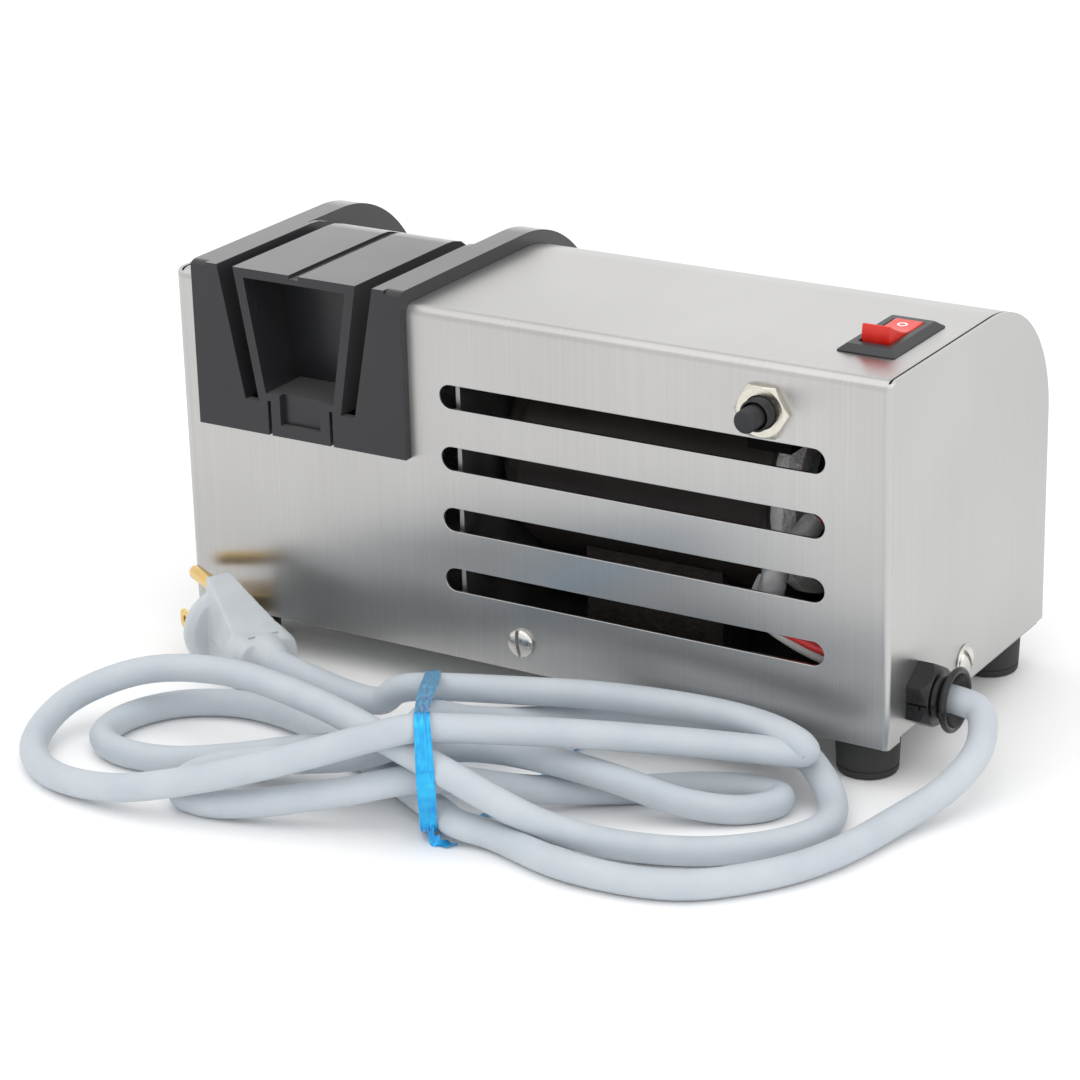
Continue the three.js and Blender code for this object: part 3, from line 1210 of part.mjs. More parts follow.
// Twist tie: a band round every pass of the cord at the waist of the hank
function twistTie() {
  const turn = radians(HANK_TURN);
  const all = [...fine(lead, 8), ...fine(hank, 8), ...fine(tail, 8)];
  const near = [];
  for (const p of all) {
    const [dx, dy] = [p.x - HANK_X, p.y - HANK_Y];
    const out = dx * Math.cos(turn) + dy * Math.sin(turn);
    const across = dy * Math.cos(turn) - dx * Math.sin(turn);
    if (Math.abs(out) < TIE_WIDTH) near.push([across, p.z]);
  }
  const outline = (radius) => polygon(hull(near.flatMap(([u, v]) => circlePoints(u, v, radius))));
  const inner = CORD_RADIUS + TIE_GAP;
  const band = prism("x", outline(inner + TIE_THICKNESS), -TIE_WIDTH / 2, TIE_WIDTH / 2);
  return band.subtract(prism("x", outline(inner), -TIE_WIDTH, TIE_WIDTH));
}

// Points round a circle.
function circlePoints(u, v, radius) {
  return Array.from({ length: SMALL_SIDES }, (_, i) => {
    const angle = (i * 2 * Math.PI) / SMALL_SIDES;
    return [u + radius * Math.cos(angle), v + radius * Math.sin(angle)];
  });
}

// The convex outline round a set of points, anticlockwise.
function hull(points) {
  const sorted = [...points].sort((a, b) => a[0] - b[0] || a[1] - b[1]);
  const turnsLeft = (a, b, c) => (b[0] - a[0]) * (c[1] - a[1]) - (b[1] - a[1]) * (c[0] - a[0]) > 1e-6;
  const chain = (list) => {
    const out = [];
    for (const p of list) {
      while (out.length > 1 && !turnsLeft(out[out.length - 2], out[out.length - 1], p)) out.pop();
      out.push(p);
    }
    return out.slice(0, -1);
  };
  return [...chain(sorted), ...chain([...sorted].reverse())];
}
const tie = piece("twist_tie", twistTie(), FINISHES.tieBlue, sharpener, [HANK_X, HANK_Y, 0]);
tie.rotation.z = radians(HANK_TURN);

// Plug: built pointing along minus X with its face at the origin, then turned to lie by the case
const plug = new THREE.Group();
plug.position.copy(plugEnd);
plug.rotation.z = -heading;
sharpener.add(plug);

// Plug body: a round face plate, a waisted grip with a ridge on top, and a rear cap.
function plugBody() {
  const face = [
    [0, 0],
    [PLUG_FACE_RADIUS - PLUG_FACE_EDGE, 0],
    [PLUG_FACE_RADIUS, PLUG_FACE_EDGE],
    [PLUG_FACE_RADIUS, PLUG_FACE_THICKNESS - PLUG_FACE_EDGE],
    [PLUG_FACE_RADIUS - PLUG_FACE_EDGE, PLUG_FACE_THICKNESS],
    [0, PLUG_FACE_THICKNESS],
  ];
  const capFrom = PLUG_LENGTH - PLUG_CAP_LENGTH;
  const waist = prism(
    "x",
    roundedRectangle(PLUG_WAIST_HALF * 2, PLUG_WAIST_HEIGHT, PLUG_CORNER),
    PLUG_FACE_THICKNESS / 2,
    capFrom + PLUG_CAP_LENGTH / 2,
  );
  const ridge = prism(
    "y",
    polygon([
      [PLUG_FACE_THICKNESS / 2, 0],
      [capFrom, 0],
      [capFrom, PLUG_CAP_HEIGHT / 2],
      [PLUG_FACE_THICKNESS / 2, PLUG_RIDGE_RISE],
    ]),
    -PLUG_RIDGE_HALF,
    PLUG_RIDGE_HALF,
  );
  const cap = prism(
    "x",
    roundedRectangle(PLUG_CAP_HALF * 2, PLUG_CAP_HEIGHT, PLUG_CORNER * 1.5),
    capFrom,
    PLUG_LENGTH,
  );
  const seat = rod("x", CORD_RADIUS + SOFT_GAP, OVERRUN, [PLUG_LENGTH - PLUG_SEAT, 0, 0]);
  return sum([turned("x", face, [0, 0, 0]), waist, ridge, cap]).subtract(seat);
}
piece("plug_body", plugBody(), FINISHES.cordGrey, plug);
[-1, 1].forEach((side) => {
  const y = (side * BLADE_SPACING) / 2;
  const half = BLADE_THICKNESS / 2;
  const z = -BLADE_DROP;
  const flat = block([-BLADE_LENGTH, y - half, z - BLADE_WIDTH / 2], [0, y + half, z + BLADE_WIDTH / 2]);
  const hole = rod("y", BLADE_HOLE_RADIUS, BLADE_WIDTH, [BLADE_HOLE_SETBACK - BLADE_LENGTH, y - BLADE_WIDTH / 2, z]);
  piece("plug_blade_" + (side < 0 ? "near" : "far"), flat.subtract(hole), FINISHES.brass, plug);
});
const pinProfile = [
  [0, -PIN_LENGTH],
  [PIN_RADIUS - PIN_TIP, -PIN_LENGTH],
  [PIN_RADIUS, PIN_TIP - PIN_LENGTH],
  [PIN_RADIUS, 0],
  [0, 0],
];
piece("ground_pin", turned("x", pinProfile, [0, 0, PIN_OFFSET - BLADE_DROP]), FINISHES.brass, plug);

// Wires inside: their ends stop just short of what they are fixed to
const inner = [glandAt[0] - GLAND_SHANK_LENGTH - SOFT_GAP, glandAt[1], glandAt[2]];
const wireSpread = WIRE_RADIUS * 2 + SOFT_GAP;
const terminalEnd = BREAKER_SETBACK + BREAKER_LENGTH + TERMINAL_LENGTH + SOFT_GAP;
const breakerEnd = (side) => [
  breakerX + (side * BREAKER_TERMINAL_SPREAD) / 2,
  terminalEnd,
  breakerZ - BREAKER_TERMINAL_DROP,
];
const switchEnd = [
  switchAt[0],
  switchAt[1] - TERMINAL_SPREAD / 2,
  switchAt[2] - SWITCH_DEPTH - TERMINAL_LENGTH - SOFT_GAP,
];
const groundEnd = [
  groundAt[0],
  groundAt[1] - SMALL_HEAD_RADIUS - SOFT_GAP,
  groundAt[2] + WIRE_RADIUS + SOFT_GAP,
];
const canAngle = Math.atan2(WIRE_CAN_POINT[2] - axisAt[2], WIRE_CAN_POINT[1] - axisAt[1]);
const canReach = MOTOR_RADIUS + SOFT_GAP;
const canEnd = [
  WIRE_CAN_POINT[0],
  axisAt[1] + canReach * Math.cos(canAngle),
  axisAt[2] + canReach * Math.sin(canAngle),
];
const from = (dy, dz) => [
  [inner[0], inner[1] + dy, inner[2] + dz],
  [inner[0] - WIRE_RADIUS * 2, inner[1] + dy, inner[2] + dz],
];
const route = ({ low, high }) => [
  ...low.map(([x, y, z]) => [CASE_WIDTH + x, y, z]),
  ...high.map(([x, y, z]) => [CASE_WIDTH + x, y, caseTop + z]),
];
const wires = {
  red: [...from(-wireSpread, 0), ...route(WIRE_ROUTES.red), breakerEnd(1)],
  black: [breakerEnd(-1), ...route(WIRE_ROUTES.black), switchEnd],
  white: [...from(0, wireSpread), ...route(WIRE_ROUTES.white), WIRE_CAN_POINT, canEnd],
  green: [...from(wireSpread, 0), ...route(WIRE_ROUTES.green), groundEnd],
};
const wireFinish = {
  red: FINISHES.wireRed,
  black: FINISHES.wireBlack,
  white: FINISHES.wireWhite,
  green: FINISHES.wireGreen,
};
for (const [colour, points] of Object.entries(wires)) {
  piece("wire_" + colour, tube(points, WIRE_RADIUS, WIRE_SIDES), wireFinish[colour]);
}
const groundScrew = panScrew(SMALL_HEAD_RADIUS, SMALL_HEAD_HEIGHT, SMALL_SHANK_RADIUS, SMALL_SHANK_LENGTH);
piece("ground_screw", groundScrew, FINISHES.screwSteel, sharpener, groundAt);

// The origin is the middle of the object's foot print, on the floor
const backReach = CASE_DEPTH + SADDLE_TOP_PROUD;
for (const child of sharpener.children) {
  child.position.x -= CASE_WIDTH / 2;
  child.position.y -= (backReach - BUTTON_REACH) / 2;
}

export default sharpener;
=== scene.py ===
"""Dresses an electric knife sharpener: steel case, guide saddle, switch, breaker, lead and plug."""

import logging
from dataclasses import dataclass, field
from enum import Enum
from math import atan2, cos, pi, radians, sin, sqrt, tan
from typing import Callable, Iterable, Sequence

import bmesh
import bpy
from mathutils import Matrix, Vector, noise


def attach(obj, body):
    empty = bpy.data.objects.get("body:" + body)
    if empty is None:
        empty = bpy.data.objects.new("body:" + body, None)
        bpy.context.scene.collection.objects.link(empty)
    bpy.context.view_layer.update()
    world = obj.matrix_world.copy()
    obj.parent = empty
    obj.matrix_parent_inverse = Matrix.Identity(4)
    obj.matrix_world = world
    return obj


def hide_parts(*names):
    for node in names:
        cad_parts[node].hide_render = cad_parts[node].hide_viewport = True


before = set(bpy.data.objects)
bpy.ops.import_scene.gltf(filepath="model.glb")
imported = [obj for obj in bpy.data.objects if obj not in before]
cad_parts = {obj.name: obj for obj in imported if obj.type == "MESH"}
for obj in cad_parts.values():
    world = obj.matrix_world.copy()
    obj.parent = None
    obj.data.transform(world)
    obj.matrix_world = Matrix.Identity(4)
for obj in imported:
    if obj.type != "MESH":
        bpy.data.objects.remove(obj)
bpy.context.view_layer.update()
LOG = logging.getLogger("sharpener")

Point2 = tuple[float, float]
Point3 = tuple[float, float, float]
Outline = Sequence[Point2]
Colour = tuple[float, float, float, float]
Piece = bpy.types.Object
Socket = bpy.types.NodeSocket
MM = 0.001
# The row's origin in the case's own frame.
ORIGIN = Vector((125.0, 52.0, 0.0))
# How far a cutter runs past what it cuts.
PAST = 5.0
# The angles of the points of a round edge.
QUARTER = (0.0, 0.4, 0.8, 1.2, 1.5708)


@dataclass(frozen=True)
class Layout:
    """Places that sub-assemblies share, in millimetres from the case's left end, front face and floor."""

    width: float = 250.0
    depth: float = 111.0
    bottom: float = 13.0
    top: float = 126.0
    guide: float = 47.5
    switch: Point2 = (231.7, 36.75)
    breaker: Point2 = (209.2, 111.6)
    relief: Point2 = (20.5, 24.0)
    shaft: Point2 = (55.5, 70.0)
    screw_level: float = 22.6
    screw_middle: float = 125.0
    screw_side: float = 51.5


LAYOUT = Layout()


class Joining(Enum):
    """How one solid is combined with others."""

    ADD = "UNION"
    CUT = "DIFFERENCE"
    KEEP = "INTERSECT"


class Axis(Enum):
    """The direction a turned or extruded shape runs in."""

    X = 0
    Y = 1
    Z = 2

    def point(self, u: float, v: float, along: float) -> Point3:
        """Returns the point with these two crosswise coordinates and this distance along the axis."""
        return ((along, u, v), (u, along, v), (u, v, along))[self.value]


class Reads(Enum):
    """What a pattern is laid out on."""

    OBJECT = "Object"
    UV = "UV"


def place(point: Sequence[float]) -> Vector:
    """Returns a point of the case's own frame, in millimetres, as one of the row's frame in metres."""
    return (Vector(point) - ORIGIN) * MM


def even(scale: float) -> Point3:
    """Returns the same scale along every axis."""
    return (scale, scale, scale)


def linear(colour: tuple[int, int, int]) -> Colour:
    """Turns a screen colour into the light it stands for.

    Args:
        colour: red, green and blue from 0 to 255.

    Returns:
        Linear red, green and blue, and an alpha of 1.
    """
    parts = [c / 255 for c in colour]
    light = [p / 12.92 if p <= 0.04045 else ((p + 0.055) / 1.055) ** 2.4 for p in parts]
    return (light[0], light[1], light[2], 1.0)


class Shader:
    """A node material that is built up step by step."""

    def __init__(self, name: str) -> None:
        """Starts a material with a Principled shader.

        Args:
            name: the material's name.
        """
        self.material = bpy.data.materials.new(name)
        self.material.use_nodes = True
        self.tree = self.material.node_tree
        self.surface = self.tree.nodes["Principled BSDF"]

    def add(self, kind: str, **settings: object) -> bpy.types.Node:
        """Adds a node.

        Args:
            kind: the node's type name.
            settings: properties of the node by their names.

        Returns:
            The new node.
        """
        node = self.tree.nodes.new(kind)
        for key, value in settings.items():
            setattr(node, key, value)
        return node

    def join(self, source: Socket, target: Socket) -> None:
        """Links one socket to another."""
        self.tree.links.new(source, target)

    def coordinates(self, reads: Reads, scale: Point3) -> Socket:
        """Gives stretched coordinates to read a pattern from.

        Args:
            reads: what the pattern is laid out on.
            scale: repeats per metre along each axis.

        Returns:
            The socket with the coordinates.
        """
        source = self.add("ShaderNodeTexCoord")
        mapping = self.add("ShaderNodeMapping")
        mapping.inputs["Scale"].default_value = scale
        self.join(source.outputs[reads.value], mapping.inputs["Vector"])
        return mapping.outputs["Vector"]

    def noise(self, where: Socket, detail: float = 3.0, rough: float = 0.55) -> Socket:
        """Gives a noise value.

        Args:
            where: the coordinates, already scaled.
            detail: how many finer layers are added.
            rough: how strong the finer layers are.

        Returns:
            The socket with a value of about 0.3 to 0.7.
        """
        node = self.add("ShaderNodeTexNoise")
        node.inputs["Scale"].default_value = 1.0
        node.inputs["Detail"].default_value = detail
        node.inputs["Roughness"].default_value = rough
        self.join(where, node.inputs["Vector"])
        return node.outputs["Fac"]

    def spread(self, value: Socket, low: float, high: float, span: Point2 = (0.3, 0.7)) -> Socket:
        """Stretches a value onto another range.

        Args:
            value: the socket to read.
            low: the result at the bottom of the span.
            high: the result at its top.
            span: the range of the value that is used.

        Returns:
            The socket with the result.
        """
        node = self.add("ShaderNodeMapRange")
        for socket, number in zip(("From Min", "From Max", "To Min", "To Max"), (*span, low, high)):
            node.inputs[socket].default_value = number
        self.join(value, node.inputs["Value"])
        return node.outputs["Result"]

    def blend(self, factor: Socket, first: Colour, second: Colour) -> Socket:
        """Mixes two colours.

        Args:
            factor: 0 for the first colour and 1 for the second.
            first: a linear colour.
            second: a linear colour.

        Returns:
            The socket with the mixed colour.
        """
        node = self.add("ShaderNodeMix", data_type="RGBA")
        colours = [socket for socket in node.inputs if socket.type == "RGBA"]
        colours[0].default_value = first
        colours[1].default_value = second
        self.join(factor, node.inputs[0])
        return next(socket for socket in node.outputs if socket.type == "RGBA")

    def relief(self, height: Socket, strength: float, depth: float) -> bpy.types.Node:
        """Adds a bump to the surface, over any that is already there.

        Args:
            height: the socket with the height.
            strength: from 0 to 1.
            depth: the height of the relief in metres.

        Returns:
            The bump node.
        """
        bump = self.add("ShaderNodeBump")
        bump.inputs["Strength"].default_value = strength
        bump.inputs["Distance"].default_value = depth
        self.join(height, bump.inputs["Height"])
        normal = self.surface.inputs["Normal"]
        if normal.is_linked:
            self.join(normal.links[0].from_socket, bump.inputs["Normal"])
        self.join(bump.outputs["Normal"], normal)
        return bump


@dataclass(frozen=True)
class Finish:
    """A surface: two tones that drift into each other, a sheen that varies, and a fine relief."""

    name: str
    slot: str
    tone: tuple[int, int, int]
    shade: tuple[int, int, int]
    rough: Point2 = (0.38, 0.48)
    metal: float = 0.0
    drift: Point3 = even(45.0)
    grain: Point3 = even(2600.0)
    bump: float = 0.12
    depth: float = 0.00006
    swell: float = 0.0
    dust: float = 0.0
    ior: float = 1.46
    coat: float = 0.0
    clear: float = 0.0
    dust_rough: float = 0.3
    coat_rough: float = 0.12
    grain_share: float = 0.35
    swell_depth: float = 0.0012
    reads: Reads = Reads.OBJECT

    def material(self) -> bpy.types.Material:
        """Returns the finish's material, which is made once."""
        known = bpy.data.materials.get(self.name)
        return known or self.build().material

    def build(self) -> Shader:
        """Makes the finish's nodes.

        Returns:
            The shader, for a kind of finish that adds to it.
        """
        shader = Shader(self.name)
        surface = shader.surface
        for socket, number in {
            "Metallic": self.metal, "IOR": self.ior, "Coat Weight": self.coat, "Sheen Weight": self.dust,
            "Sheen Roughness": self.dust_rough, "Coat Roughness": self.coat_rough,
            "Transmission Weight": self.clear,
        }.items():
            surface.inputs[socket].default_value = number
        drift = shader.noise(shader.coordinates(self.reads, self.drift))
        grain = shader.noise(shader.coordinates(self.reads, self.grain), detail=2.0)
        tone = shader.blend(shader.spread(drift, 0.0, 1.0), linear(self.tone), linear(self.shade))
        shader.join(tone, surface.inputs["Base Color"])
        low, high = self.rough
        worn = shader.add("ShaderNodeMath", operation="MULTIPLY_ADD")
        worn.inputs[1].default_value = self.grain_share
        shader.join(grain, worn.inputs[0])
        shader.join(shader.spread(drift, 0.0, 1.0 - self.grain_share), worn.inputs[2])
        shader.join(shader.spread(worn.outputs[0], low, high, span=(0.1, 0.9)), surface.inputs["Roughness"])
        if self.bump:
            shader.relief(grain, self.bump, self.depth)
        if self.swell:
            shader.relief(drift, self.swell, self.swell_depth)
        return shader


@dataclass(frozen=True)
class BrushedSteel(Finish):
    """Stainless sheet with a one-way grain: reflections smear across the grain."""

    smear: Point3 = (1.0, 0.0, 0.0)
    stretch: float = 0.8
    streaks: Point3 = (2600.0, 8.0, 8.0)
    streak_share: float = 0.7
    streak_span: Point2 = (0.3, 0.75)

    def build(self) -> Shader:
        """Makes the sheet's nodes: tones along the grain, and the direction of the smear.

        Returns:
            The shader.
        """
        shader = super().build()
        surface = shader.surface
        surface.inputs["Anisotropic"].default_value = self.stretch
        way = shader.add("ShaderNodeCombineXYZ")
        for socket, part in zip(way.inputs, self.smear):
            socket.default_value = part
        shader.join(way.outputs[0], surface.inputs["Tangent"])
        streak = shader.noise(shader.coordinates(self.reads, self.streaks), detail=4.0, rough=0.7)
        cloud = shader.noise(shader.coordinates(self.reads, self.drift), detail=2.0)
        mixed = shader.add("ShaderNodeMath", operation="MULTIPLY_ADD")
        mixed.inputs[1].default_value = self.streak_share
        shader.join(streak, mixed.inputs[0])
        shader.join(shader.spread(cloud, 0.0, 1.0 - self.streak_share), mixed.inputs[2])
        factor = shader.spread(mixed.outputs[0], 0.0, 1.0, self.streak_span)
        tone = shader.blend(factor, linear(self.tone), linear(self.shade))
        shader.join(tone, surface.inputs["Base Color"])
        low, high = self.rough
        shader.join(shader.spread(streak, low, high), surface.inputs["Roughness"])
        return shader


@dataclass(frozen=True)
class CreasedFoil(Finish):
    """Metallic ribbon with sharp lengthwise creases."""

    creases: Point3 = (7.0, 3.0, 1.0)
    crease: float = 0.6
    crease_depth: float = 0.0005

    def build(self) -> Shader:
        """Makes the ribbon's nodes: the plain finish with creases that run along it.

        Returns:
            The shader.
        """
        shader = super().build()
        folds = shader.noise(shader.coordinates(Reads.UV, self.creases), detail=1.0)
        shader.relief(folds, self.crease, self.crease_depth)
        return shader


@dataclass(frozen=True)
class CastMetal(Finish):
    """Rough casting with pits."""

    pits: float = 900.0
    pitting: float = 0.7
    pit_depth: float = 0.0003

    def build(self) -> Shader:
        """Makes the casting's nodes: the plain finish with pits on top.

        Returns:
            The shader.
        """
        shader = super().build()
        cells = shader.add("ShaderNodeTexVoronoi", feature="F1")
        cells.inputs["Scale"].default_value = 1.0
        shader.join(shader.coordinates(self.reads, even(self.pits)), cells.inputs["Vector"])
        depth = shader.spread(cells.outputs["Distance"], 0.0, 1.0, span=(0.1, 0.7))
        shader.relief(depth, self.pitting, self.pit_depth)
        return shader


@dataclass(frozen=True)
class Paints:
    """Every finish of the sharpener."""

    sheet: Finish = BrushedSteel(
        "brushed_steel_wrap", "stainless_steel", (183, 182, 181), (198, 197, 195), rough=(0.3, 0.34),
        metal=1.0, drift=even(9.0), grain=(4200.0, 30.0, 30.0), bump=0.006, depth=0.00001,
    )
    ends: Finish = BrushedSteel(
        "brushed_steel_ends", "stainless_steel", (187, 187, 185), (201, 201, 200), rough=(0.31, 0.35),
        metal=1.0, drift=even(9.0), grain=(30.0, 4200.0, 30.0), bump=0.006, depth=0.00001,
        smear=(0.0, 1.0, 0.0), streaks=(8.0, 2600.0, 8.0),
    )
    moulding: Finish = Finish(
        "moulded_guide", "black_moulding", (27, 28, 31), (34, 35, 39), rough=(0.26, 0.36), bump=0.08,
        drift=even(26.0), swell=0.05, ior=1.48, dust=0.95,
    )
    black: Finish = Finish("switch_plastic", "black_plastic", (43, 44, 45), (54, 55, 57), rough=(0.36, 0.5))
    phenolic: Finish = Finish(
        "breaker_case", "black_plastic", (5, 5, 5), (9, 9, 9), rough=(0.6, 0.75), bump=0.05, ior=1.12,
    )
    gloss: Finish = Finish(
        "gland_nylon", "black_plastic", (17, 17, 17), (26, 26, 28), rough=(0.2, 0.34), swell=0.12,
        drift=even(120.0),
    )
    rubber: Finish = Finish(
        "foot_rubber", "foot_rubber", (25, 25, 27), (40, 40, 43), rough=(0.42, 0.6), bump=0.25,
        drift=(160.0, 160.0, 60.0),
    )
    button: Finish = Finish("button_plastic", "black_plastic", (27, 28, 30), (37, 38, 40), rough=(0.42, 0.55))
    red: Finish = Finish(
        "rocker_red", "red_plastic", (215, 38, 29), (224, 52, 39), rough=(0.3, 0.4), bump=0.05,
        drift=even(180.0), coat=0.08,
    )
    mark: Finish = Finish(
        "mark_white", "red_plastic", (242, 240, 236), (252, 250, 248), rough=(0.4, 0.5), bump=0.04
    )
    nickel: Finish = Finish(
        "nickel_plate", "nickel_hardware", (207, 202, 190), (223, 219, 208), rough=(0.16, 0.3), metal=1.0,
        drift=even(400.0), bump=0.12,
    )
    screw: Finish = Finish(
        "screw_nickel", "nickel_hardware", (199, 197, 192), (221, 219, 215), rough=(0.12, 0.28), metal=1.0,
        drift=even(500.0), bump=0.12,
    )
    zinc: Finish = Finish(
        "zinc_sheet", "zinc_plate", (153, 155, 155), (180, 181, 179), rough=(0.36, 0.58), metal=1.0,
        drift=even(70.0),
    )
    shaft: Finish = Finish(
        "ground_shaft", "shaft_steel", (163, 163, 161), (184, 184, 182), rough=(0.2, 0.32), metal=1.0,
        grain=(5000.0, 200.0, 200.0),
    )
    stone: Finish = CastMetal(
        "abrasive_stone", "grinding_stone", (100, 103, 108), (147, 147, 149), rough=(0.8, 0.98),
        drift=even(700.0), pits=1500.0,
    )
    fan: Finish = Finish("fan_moulding", "fan_plastic", (68, 70, 71), (87, 89, 91), rough=(0.45, 0.6))
    can: Finish = Finish(
        "motor_enamel", "motor_black", (46, 39, 36), (57, 49, 45), rough=(0.36, 0.48),
        drift=even(30.0),
    )
    casting: Finish = CastMetal(
        "motor_casting", "cast_grey", (244, 244, 240), (247, 247, 247), rough=(0.5, 0.75),
        drift=even(320.0),
    )
    dark_casting: Finish = CastMetal(
        "painted_casting", "cast_grey", (45, 40, 37), (59, 53, 48), rough=(0.5, 0.7),
        drift=even(320.0),
    )
    brass: Finish = Finish(
        "plated_brass", "brass", (219, 184, 108), (233, 201, 131), rough=(0.2, 0.34), metal=1.0,
        drift=even(300.0), grain=(4000.0, 600.0, 600.0),
    )
    jacket: Finish = Finish(
        "lead_jacket", "cord_grey", (183, 190, 197), (192, 199, 205), rough=(0.5, 0.62), bump=0.05,
        drift=even(70.0), swell=0.07, ior=1.4,
    )
    plug: Finish = Finish(
        "plug_moulding", "cord_grey", (187, 192, 196), (197, 202, 206), rough=(0.42, 0.56), bump=0.1,
        drift=even(90.0), swell=0.08,
    )
    foil: Finish = CreasedFoil(
        "blue_foil", "tie_blue", (0, 142, 217), (29, 190, 242), rough=(0.16, 0.28), metal=0.45,
        drift=even(220.0), bump=0.02, coat=0.5,
    )
    clear: Finish = Finish(
        "clear_sleeve", "wire_white", (199, 204, 207), (223, 226, 229), rough=(0.1, 0.3), clear=0.35,
        drift=even(260.0), swell=0.5,
    )
    # Painted shade: the red wire's tones are darkened to stand in for the shade it lies in inside the case.
    wire_red: Finish = Finish("wire_red", "wire_red", (112, 16, 24), (126, 22, 30), rough=(0.3, 0.42))
    wire_black: Finish = Finish("wire_black", "wire_black", (23, 23, 25), (35, 35, 37), rough=(0.32, 0.45))
    # Painted shade: the white wire gets grey tones that stand in for the shadow it lies in inside the case.
    wire_white: Finish = Finish(
        "wire_white", "wire_white", (126, 125, 121), (138, 137, 133), rough=(0.32, 0.45)
    )
    wire_green: Finish = Finish("wire_green", "wire_green", (22, 72, 32), (34, 86, 43), rough=(0.32, 0.45))
    floor: Finish = Finish(
        "studio_paper", "stainless_steel", (247, 247, 247), (250, 250, 250), rough=(0.85, 0.95), bump=0.0,
        drift=even(2.0), ior=1.2,
    )


PAINTS = Paints()


def show(mesh: bpy.types.Mesh, name: str) -> Piece:
    """Puts a mesh into the scene as a piece.

    Args:
        mesh: the piece's mesh, with its place in it.
        name: the piece's name.

    Returns:
        The piece.
    """
    item = bpy.data.objects.new(name, mesh)
    bpy.context.scene.collection.objects.link(item)
    return item


def shape(name: str, points: Iterable[Sequence[float]], faces: Iterable[Sequence[int]]) -> Piece:
    """Makes a piece from its corners, with its faces turned outwards.

    Args:
        name: the piece's name.
        points: corners in millimetres in the case's frame.
        faces: the corners of each face.

    Returns:
        The piece, with its place in its mesh.
    """
    mesh = bpy.data.meshes.new(name)
    mesh.from_pydata([place(p) for p in points], [], list(faces))
    work = bmesh.new()
    work.from_mesh(mesh)
    bmesh.ops.remove_doubles(work, verts=work.verts, dist=1e-7)
    bmesh.ops.recalc_face_normals(work, faces=work.faces)
    work.to_mesh(mesh)
    work.free()
    return show(mesh, name)


def loft(name: str, loops: Sequence[Sequence[Point3]], round_trip: bool = False) -> Piece:
    """Skins a row of loops that have as many points each.

    Args:
        name: the piece's name.
        loops: the loops in order, in millimetres.
        round_trip: whether the last loop joins the first one, instead of a face that closes each.

    Returns:
        The piece.
    """
    count, total = len(loops[0]), len(loops)
    faces = []
    for row in range(total if round_trip else total - 1):
        here, there = row * count, ((row + 1) % total) * count
        for i in range(count):
            j = (i + 1) % count
            faces.append([here + i, here + j, there + j, there + i])
    if not round_trip:
        faces.append(list(range(count))[::-1])
        faces.append([(total - 1) * count + i for i in range(count)])
    return shape(name, [p for loop in loops for p in loop], faces)


def prism(name: str, axis: Axis, outline: Outline, start: float, stop: float) -> Piece:
    """Makes a straight piece with this outline between two distances along an axis."""
    return loft(name, [[axis.point(u, v, along) for u, v in outline] for along in (start, stop)])


def block(low: Point3, high: Point3) -> Piece:
    """Makes a plain cutter between two corners."""
    outline = [(low[0], low[1]), (high[0], low[1]), (high[0], high[1]), (low[0], high[1])]
    return prism("cutter", Axis.Z, outline, low[2], high[2])


def circle(count: int) -> list[float]:
    """Returns angles spaced evenly round a circle."""
    return [2 * pi * i / count for i in range(count)]


def lathe(name: str, axis: Axis, profile: Outline, centre: Point3, sides: int) -> Piece:
    """Turns a profile about an axis.

    Args:
        name: the piece's name.
        axis: the direction of the turning axis.
        profile: radius and distance pairs; a closed ring when no end lies on the axis.
        centre: the point that the distances are measured from.
        sides: faces round the axis.

    Returns:
        The piece.
    """
    points = []
    rings: list[list[int]] = []
    for radius, along in profile:
        ring = []
        for angle in circle(sides) if radius > 1e-6 else [0.0]:
            spot = axis.point(radius * cos(angle), radius * sin(angle), along)
            ring.append(len(points))
            points.append(tuple(c + s for c, s in zip(centre, spot)))
        rings.append(ring)
    closed = len(rings[0]) > 1 and len(rings[-1]) > 1
    pairs = list(zip(rings, rings[1:])) + ([(rings[-1], rings[0])] if closed else [])
    faces = []
    for first, second in pairs:
        for i in range(sides):
            j = (i + 1) % sides
            corners = [ring[k % len(ring)] for ring, k in ((first, i), (first, j), (second, j), (second, i))]
            faces.append(list(dict.fromkeys(corners)))
    return shape(name, points, [f for f in faces if len(f) > 2])


def drop(*items: Piece) -> None:
    """Takes scratch pieces out of the scene."""
    for item in items:
        bpy.data.objects.remove(item)


def shift(item: Piece, by: Sequence[float]) -> None:
    """Moves a piece's mesh by a distance in metres."""
    item.data.transform(Matrix.Translation(by))


def bake(item: Piece) -> Piece:
    """Turns a piece's modifiers into its plain mesh.

    Args:
        item: the piece.

    Returns:
        The piece.
    """
    bpy.context.view_layer.update()
    graph = bpy.context.evaluated_depsgraph_get()
    result = item.evaluated_get(graph)
    mesh = bpy.data.meshes.new_from_object(result, preserve_all_data_layers=True, depsgraph=graph)
    item.modifiers.clear()
    item.data = mesh
    return item


def combine(item: Piece, how: Joining, others: Iterable[Piece]) -> Piece:
    """Adds, cuts or keeps what a piece shares with other solids, which are used up.

    Args:
        item: the piece that changes.
        how: the kind of combination.
        others: the solids it is combined with, in order.

    Returns:
        The piece.
    """
    tools = list(others)
    for tool in tools:
        step = item.modifiers.new("combine", "BOOLEAN")
        step.operation = how.value
        step.solver = "EXACT"
        step.object = tool
    bake(item)
    drop(*tools)
    return item


def tidy(item: Piece) -> Piece:
    """Merges doubles and drops edges inside flat faces.

    Args:
        item: the piece.

    Returns:
        The piece.
    """
    work = bmesh.new()
    work.from_mesh(item.data)
    bmesh.ops.remove_doubles(work, verts=work.verts, dist=2e-6)
    flat = radians(0.6)
    bmesh.ops.dissolve_limit(work, angle_limit=flat, verts=work.verts, edges=work.edges)
    work.to_mesh(item.data)
    work.free()
    return item


